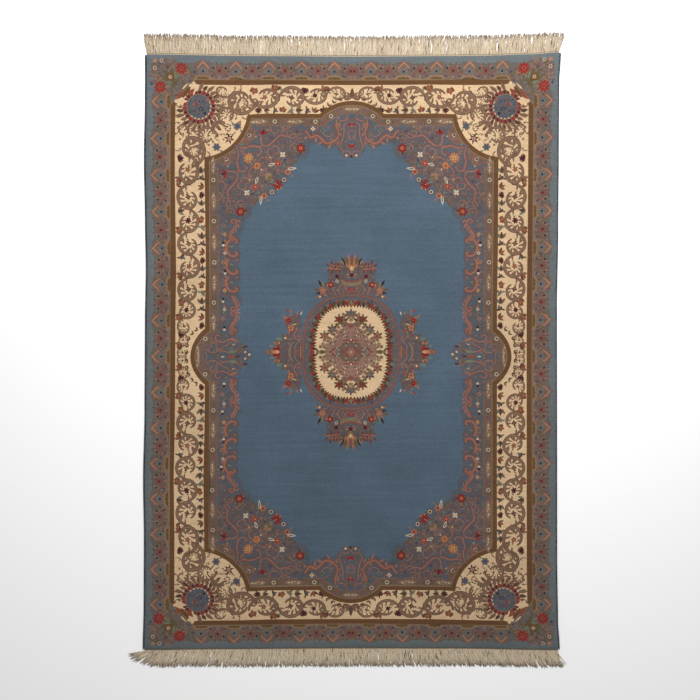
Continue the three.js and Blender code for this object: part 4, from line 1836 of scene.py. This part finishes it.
@dataclass(frozen=True)
class PlainYarn:
    """Undyed or evenly dyed yarn, twisted from its plies, with painted shade in the grooves of the twist."""

    name: str
    colour: tuple[float, float, float]  # red, green and blue from 0 to 255
    # the dark colour that the shade attribute mixes in: random dirt, and also painted shade and shadow on
    # the fringe and on the cord's core
    dirt_and_shade: tuple[float, float, float]
    pitch: float = 6.0  # of the twist, in millimetres
    plies: float = 2.0
    strength: float = 1.0

    def make(self, shared: Finishes) -> Material:
        """Builds the material from the shared groups."""
        material, tree, shader = new_material(self.name, 0.9, 0.06)
        ply = tree.add("ShaderNodeGroup", {"Pitch": self.pitch, "Plies": self.plies}, node_tree=shared.ply)
        shade = tree.add("ShaderNodeAttribute", attribute_name="shade").outputs["Fac"]
        blend = {0: shade, 6: linear_colour(self.colour), 7: linear_colour(self.dirt_and_shade)}
        mixed = tree.add("ShaderNodeMix", blend, data_type="RGBA")
        place = tree.add("ShaderNodeTexCoord").outputs["Object"]
        fibres = tree.add("ShaderNodeTexNoise", {"Vector": place, "Scale": 420.0, "Detail": 2.0}).outputs[0]
        # the plies' height darkens the grooves of the twist: painted shade, beside the bump
        light = tree.sum("MULTIPLY", tree.spread(ply.outputs["Height"], 0.62, 1.1), self.strength)
        light = tree.sum("MULTIPLY", light, tree.spread(fibres, 0.8, 1.2))
        tree.dress(
            shader, tree.vector("MULTIPLY", mixed.outputs[2], light), ply.outputs["Height"], 0.35, 0.8
        )
        return material


def linear_colour(value: Sequence[float]) -> tuple[float, float, float, float]:
    """A colour of 0 to 255 a channel as linear red, green, blue and alpha."""
    channels = [c / 255 for c in value]
    light = [c / 12.92 if c <= 0.04045 else ((c + 0.055) / 1.055) ** 2.4 for c in channels]
    return (*light, 1.0)


def yarn_tree(name: str, sides: int) -> NodeTree:
    """Geometry Nodes that turn guide lines into yarns, with the twist's attributes along and around.

    Args:
        name: the tree's name.
        sides: how many sides a yarn has.

    Returns:
        The tree. Its inputs are the guides, the yarn's radius in metres and the material.
    """
    inputs = {"Guides": (SHAPE, None), "Radius": (NUMBER, 0.001), "Yarn": ("NodeSocketMaterial", None)}
    tree, given = new_group(name, "GeometryNodeTree", inputs, {"Yarns": SHAPE})
    lines = tree.add("GeometryNodeMeshToCurve", {"Mesh": given["Guides"]}).outputs["Curve"]
    length = tree.add("GeometryNodeSplineParameter").outputs["Length"]
    marked = tree.store(lines, "along", length, "FLOAT")
    thick = tree.add(
        "GeometryNodeInputNamedAttribute", {"Name": "thick"}, data_type="FLOAT"
    ).outputs["Attribute"]
    size = tree.sum("MULTIPLY", thick, given["Radius"])
    section = tree.add(
        "GeometryNodeCurvePrimitiveCircle", {"Resolution": sides, "Radius": 1.0}
    ).outputs["Curve"]
    place = tree.add("GeometryNodeInputPosition").outputs["Position"]
    sweep = {
        "Curve": marked, "Profile Curve": tree.store(section, "around", place, "FLOAT_VECTOR"),
        "Scale": size, "Fill Caps": True
    }
    swept = tree.add("GeometryNodeCurveToMesh", sweep).outputs["Mesh"]
    smoothed = tree.add(
        "GeometryNodeSetShadeSmooth", {"Geometry": swept, "Shade Smooth": True}
    ).outputs["Geometry"]
    real = tree.add("GeometryNodeRealizeInstances", {"Geometry": smoothed}).outputs["Geometry"]
    dressed = tree.add(
        "GeometryNodeSetMaterial", {"Geometry": real, "Material": given["Yarn"]}
    ).outputs["Geometry"]
    tree.add("NodeGroupOutput", {"Yarns": dressed})
    return tree.nodes


def run_tree(name: str, source: Mesh, tree: NodeTree, values: dict[str, object]) -> Object:
    """Runs Geometry Nodes on a mesh and keeps the result as a plain one.

    Args:
        name: the piece's name.
        source: the mesh that goes in.
        tree: the nodes.
        values: the tree's inputs, by name.

    Returns:
        The piece.
    """
    guide = linked(name + "_guides", source)
    modifier = guide.modifiers.new("Yarns", "NODES")
    modifier.node_group = tree
    for item in tree.interface.items_tree:
        if item.item_type == "SOCKET" and item.in_out == "INPUT" and item.name in values:
            modifier[item.identifier] = values[item.name]
    evaluated = guide.evaluated_get(bpy.context.evaluated_depsgraph_get())
    mesh = bpy.data.meshes.new_from_object(evaluated)
    mesh.name = name
    guide.modifiers.remove(modifier)
    bpy.data.objects.remove(guide)
    bpy.data.meshes.remove(source)
    return linked(name, mesh)


@dataclass
class Guides:
    """Guide lines for yarns, with the thickness and the shade of each point."""

    points: list[tuple[float, float, float]] = field(default_factory=list)
    edges: list[tuple[int, int]] = field(default_factory=list)
    thick: list[float] = field(default_factory=list)
    shade: list[float] = field(default_factory=list)

    def lay(self, line: Array, thick: Array, shade: Array) -> None:
        """Adds one line: its points, and each point's thickness and shade."""
        first = len(self.points)
        self.points.extend(map(tuple, line.tolist()))
        self.edges.extend((first + k, first + k + 1) for k in range(len(line) - 1))
        self.thick.extend(thick.tolist())
        self.shade.extend(shade.tolist())

    def mesh(self, name: str) -> Mesh:
        """The lines as a mesh of edges."""
        mesh = bpy.data.meshes.new(name)
        mesh.from_pydata(self.points, self.edges, [])
        mesh.attributes.new("thick", "FLOAT", "POINT").data.foreach_set("value", self.thick)
        mesh.attributes.new("shade", "FLOAT", "POINT").data.foreach_set("value", self.shade)
        return mesh


class End(Enum):
    """The rug's two fringed ends."""

    TOP = 1
    BOTTOM = -1


@dataclass
class Fringe:
    """The free warps at one end, as layers of limp yarns, and the flat-woven strip that they leave."""

    end: End
    outline: RugOutline
    leans: Rows  # place along the end, and the tips' way aside in millimetres
    length: float = 88.0
    yarns: int = 430  # in a layer
    layers: int = 3
    radius: float = 1.7
    swelling: float = 1.9  # how much thicker the lowest layer's yarns are
    web_width: float = 12.0
    web_rows: int = 5
    grime_and_shade: float = 0.34  # the most that random dirt darkens a clean yarn; the larger value at the top end is partly painted shade that dims that end
    seed: int = 11
    reach: float = 0.998  # how far the yarns stand out from the middle, as a share of the end's half
    taper: tuple[float, ...] = (1, 1, 1, 1, 1, 0.95, 0.8, 0.35)  # a yarn's thickness from root to tip
    lift: float = 2.2  # of each layer over the one below

    def root(self, across: Array, out: float) -> tuple[Array, Array]:
        """Points that lie some metres outside the end's edge."""
        x, y = self.outline.place(across, np.full_like(across, float(self.end.value)))
        return x, y + self.end.value * out

    def warps(self) -> Guides:
        """Guide lines for the free yarns: a layer of thick ones below and the finer ones on top."""
        draw = np.random.default_rng(self.seed)
        guides = Guides()
        steps = np.linspace(0, 1, len(self.taper))
        table = np.array(self.leans)
        for layer in range(self.layers):
            bunch = 0.0
            for k in range(self.yarns):
                across = -self.reach + 2 * self.reach * (k + draw.uniform(0.1, 0.9)) / self.yarns
                if k % 5 == 0 and layer:
                    bunch = draw.normal(0, 5)
                lean = np.interp(across, table[:, 0], table[:, 1]) + bunch + draw.normal(0, 4)
                length = self.length * draw.uniform(0.88, 1.02)
                drop = math.sqrt(max(length**2 - lean**2, (0.2 * length) ** 2))
                bow, curl, phase = draw.normal(0, 3.5), draw.normal(0, 3), draw.uniform(0, math.tau)
                aside = lean * steps**1.3 + bow * np.sin(math.pi * steps) + curl * np.sin(
                    phase + 9 * steps
                ) * steps
                x, y = self.root(np.array([across]), (self.web_width - 6) * MM)
                level = (self.radius + self.lift * layer) * (1 - 0.4 * steps) + 0.2
                line = np.column_stack([
                    x[0] + aside * MM, y[0] + self.end.value * drop * steps * MM, level * MM
                ])
                thick = draw.uniform(0.75, 1.15) * np.array(self.taper) * (1 if layer else self.swelling)
                # every third yarn gets a dark patch somewhere along it: painted shadow between the yarns
                gap_shadow = draw.uniform(0, 1.8) * np.exp(-(
                    ((steps - draw.uniform(0, 1.1)) / 0.13) ** 2
                )) if k % 3 == 0 else 0
                # 0.8 * steps**6 darkens each yarn towards its tip: a painted shadow where the tips meet the
                # floor
                shade = np.clip(draw.uniform(0, self.grime_and_shade) + gap_shadow + 0.8 * steps**6, 0, 1)
                line[:, 2] = np.maximum(line[:, 2], self.radius * thick * MM)
                guides.lay(line, thick, shade)
        return guides

    def web(self) -> Guides:
        """Guide lines for the wefts of the flat-woven strip."""
        guides = Guides()
        across = np.linspace(-self.reach, self.reach, 520)
        spacing = self.web_width / self.web_rows
        for row in range(self.web_rows):
            x, y = self.root(across, (row + 0.2) * spacing * MM)
            wave = np.cos(math.pi * np.arange(len(across)) + math.pi * row)
            line = np.column_stack([x, y, (2.0 + 0.5 * wave) * MM])
            guides.lay(line, np.ones(len(across)), np.full(len(across), 0.02) + 0.08 * (wave > 0))
        return guides

    def build(self, tree: NodeTree, cotton: Material) -> list[Object]:
        """Makes the fringe and the strip, in that order."""
        side = self.end.name.lower()
        sizes = {"Radius": self.radius * MM, "Yarn": cotton}
        warps = run_tree(f"fringe_{side}_warps", self.warps().mesh("warps"), tree, sizes)
        sizes["Radius"] = 0.55 * self.web_width / self.web_rows * MM
        web = run_tree(f"web_{side}", self.web().mesh("wefts"), tree, sizes)
        return [warps, web]


class Side(Enum):
    """The rug's two long sides."""

    LEFT = -1
    RIGHT = 1


@dataclass
class SideCord:
    """One overcast edge: a bundle of warps, wrapped all the way with wool."""

    side: Side
    outline: RugOutline
    diameter: float = 8.0
    gap: float = 0.3
    wrap: float = 1.3  # radius of the wrapping yarn
    pitch: float = 3.4
    steps_a_turn: int = 8
    length: float = 2850.0
    reach: float = 0.9975  # how far the cord runs from the middle, as a share of the side's half
    core_points: int = 60

    def line(self, count: int) -> Array:
        """Points along the cord's middle."""
        up = np.linspace(-self.reach, self.reach, count)
        x, y = self.outline.place(np.full(count, float(self.side.value)), up)
        x = x + self.side.value * (self.diameter / 2 + self.gap) * MM
        return np.column_stack([x, y, np.full(count, self.diameter / 2 * MM)])

    def build(self, tree: NodeTree, wool: Material) -> list[Object]:
        """Makes the core and the wrapping, in that order."""
        side = self.side.name.lower()
        core = Guides()
        count = self.core_points
        # the core takes the dark end of the wool's tone (shade 0.9): painted shade in the gaps between the
        # wrapping's turns
        core.lay(self.line(count), np.ones(count), np.full(count, 0.9))
        radius = (self.diameter / 2 - 1.6 * self.wrap) * 1.25 * MM
        made = [run_tree(f"cord_core_{side}", core.mesh("core"), tree, {"Radius": radius, "Yarn": wool})]
        turns = round(self.length / self.pitch)
        count = turns * self.steps_a_turn
        line = self.line(count)
        angle = np.arange(count) * math.tau / self.steps_a_turn
        out = (self.diameter / 2 - self.wrap) * MM
        line[:, 0] += out * np.cos(angle)
        line[:, 2] += out * np.sin(angle)
        wrap = Guides()
        shade = 0.5 + 0.5 * np.sin(np.arange(count) * 0.0021) * np.sin(np.arange(count) * 0.0173)
        wrap.lay(line, np.ones(count), shade)
        made.append(run_tree(
            f"cord_wrap_{side}", wrap.mesh("wrap"), tree, {"Radius": self.wrap * MM, "Yarn": wool}
        ))
        return made


@dataclass
class Studio:
    """The camera straight above the rug, soft light, and a pale floor."""

    aim: tuple[float, float] = (-0.0058, 0.0087)
    width_seen: float = 3.381
    lens: float = 100.0
    sensor: float = 36.0
    key_power: float = 270.0
    key_width: float = 1.6
    key_place: tuple[float, float, float] = (0.4, 2.9, 3.8)
    key_aim: tuple[float, float, float] = (0.0, -0.2, 0.0)
    sky: float = 0.4
    floor_half: float = 8.0
    floor_level: float = -0.0004

    def camera(self) -> None:
        """Hangs the camera."""
        data = bpy.data.cameras.new("camera")
        data.lens, data.sensor_width = self.lens, self.sensor
        camera = linked("camera", data)
        camera.location = (*self.aim, self.width_seen * self.lens / self.sensor)
        bpy.context.scene.camera = camera

    def light(self) -> None:
        """Sets the lights: an even sky and a soft lamp nearer the rug's top end."""
        world = bpy.data.worlds.new("sky")
        world.use_nodes = True
        even = world.node_tree.nodes["Background"].inputs
        even["Color"].default_value = (1, 1, 1, 1)
        even["Strength"].default_value = self.sky
        bpy.context.scene.world = world
        data = bpy.data.lights.new("key", "AREA")
        data.shape, data.size, data.energy = "DISK", self.key_width, self.key_power
        key = linked("key", data)
        key.location = self.key_place
        aim = Vector(self.key_aim) - key.location
        key.rotation_euler = aim.to_track_quat("-Z", "Y").to_euler()
        bpy.context.scene.view_settings.view_transform = "Standard"

    def floor(self) -> None:
        """Lays the floor."""
        material, _, shader = new_material("floor_paint", 0.9, 0.0)
        shader.inputs["Base Color"].default_value = (0.9, 0.9, 0.9, 1)
        signs = ((-1, -1), (1, -1), (1, 1), (-1, 1))
        corners = np.array([(x * self.floor_half, y * self.floor_half, self.floor_level) for x, y in signs])
        new_piece("floor", corners, [[0, 1, 2, 3]], material)


@dataclass
class Carpet:
    """The knotted carpet: its pile, in three parts, and its back."""

    outline: RugOutline
    drift: float = -23.0  # how far the sides' pattern lies below the middle's, in millimetres
    middle: float = 400.0  # half the width that doesn't drift
    blend: float = 180.0  # the width over which the drift sets in
    pile_spacing: float = 26.0
    back_spacing: float = 60.0
    back_area: float = 220.0  # of the smallest patch that shows on the back

    def cut(self, patches: Motif, spacing: float, least_area: float) -> KnotMap:
        """The whole rug's map, with the pattern of the two sides moved down a little.

        Args:
            patches: the quarter's chart.
            spacing: of the points between the outlines.
            least_area: of the patches that the map has.

        Returns:
            The map.
        """
        knots = KnotMap.quarter(patches, spacing, least_area).mirrored()
        share = np.clip((np.abs(knots.points[:, 0]) - self.middle) / self.blend, 0, 1)
        share = share * share * (3 - 2 * share)
        knots.points[:, 1] += self.drift * share * (1 - (knots.points[:, 1] / HALF_LENGTH) ** 2)
        return knots

    def build(self, pile: Material, back: Material) -> list[Object]:
        """Makes the border's pile in two halves, the field's pile and the back, in that order."""
        patches = charted()
        fine = self.cut(patches, self.pile_spacing, 0)
        surface = PileSurface(fine, self.outline)
        on_left = fine.points[fine.triangles].mean(axis=1)[:, 0] < 0
        made = [
            surface.build("pile_border_left", ~fine.in_field & on_left, pile, True),
            surface.build("pile_border_right", ~fine.in_field & ~on_left, pile, True),
            surface.build("pile_field", fine.in_field, pile, False),
        ]
        coarse = self.cut(patches, self.back_spacing, self.back_area)
        share = coarse.points / (HALF_WIDTH, HALF_LENGTH)
        x, y = self.outline.place(*share.T)
        faces = coarse.triangles[:, ::-1].tolist()
        under = new_piece("carpet_back", np.column_stack([x, y, np.zeros(len(x))]), faces, back)
        surface.dress(under, coarse.dyes, 0.5 + share * 0.498)
        return [*made, under]


def main() -> None:
    """Builds the rug piece by piece and sets the scene."""
    logging.basicConfig(level=logging.INFO, format="%(name)s: %(message)s")
    shared = Finishes()
    wool = DyedWool("pile_wool", strength=0.62).make(shared)
    backing = DyedWool("woven_back", 2.6, 2.8, 0.15, 0.5, 0.6).make(shared)
    cotton = PlainYarn("warp_cotton", (236, 216, 186), (112, 90, 68), strength=0.72).make(shared)
    overcast = PlainYarn("cord_wool", (108, 112, 116), (70, 72, 78), 4.0, 2.0, 0.68).make(shared)
    yarns = yarn_tree("Yarns", 5)
    outline = RugOutline.of_node(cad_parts["knotted_carpet"])
    carpet = Carpet(outline).build(wool, backing)
    leans = ((-1, -16), (-0.95, -6), (0, 3), (0.93, 8), (1, 26))
    top = Fringe(End.TOP, outline, leans, 98.0).build(yarns, cotton)
    leans = (
        (-1, -80), (-0.965, -72), (-0.94, -36), (-0.7, -24), (-0.4, -6), (0, 4), (0.5, 24), (0.85, 30),
        (1, 34)
    )
    low = Fringe(End.BOTTOM, outline, leans, grime_and_shade=0.05, seed=12).build(yarns, cotton)
    left = SideCord(Side.LEFT, outline).build(yarns, overcast)
    right = SideCord(Side.RIGHT, outline).build(yarns, overcast)
    stood_for = (
        ("knotted_carpet", "wool_pile", carpet), ("fringe_top", "warp_cotton", top),
        ("fringe_bottom", "warp_cotton", low), ("side_cord_left", "cord_wool", left),
        ("side_cord_right", "cord_wool", right),
    )
    for node, slot, pieces in stood_for:
        for piece in pieces:
            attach(piece, "root")
            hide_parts(node)
            log.info("%s: %d faces", piece.name, len(piece.data.polygons))
    studio = Studio()
    studio.camera()
    studio.light()
    studio.floor()


if __name__ == "__main__":
    main()
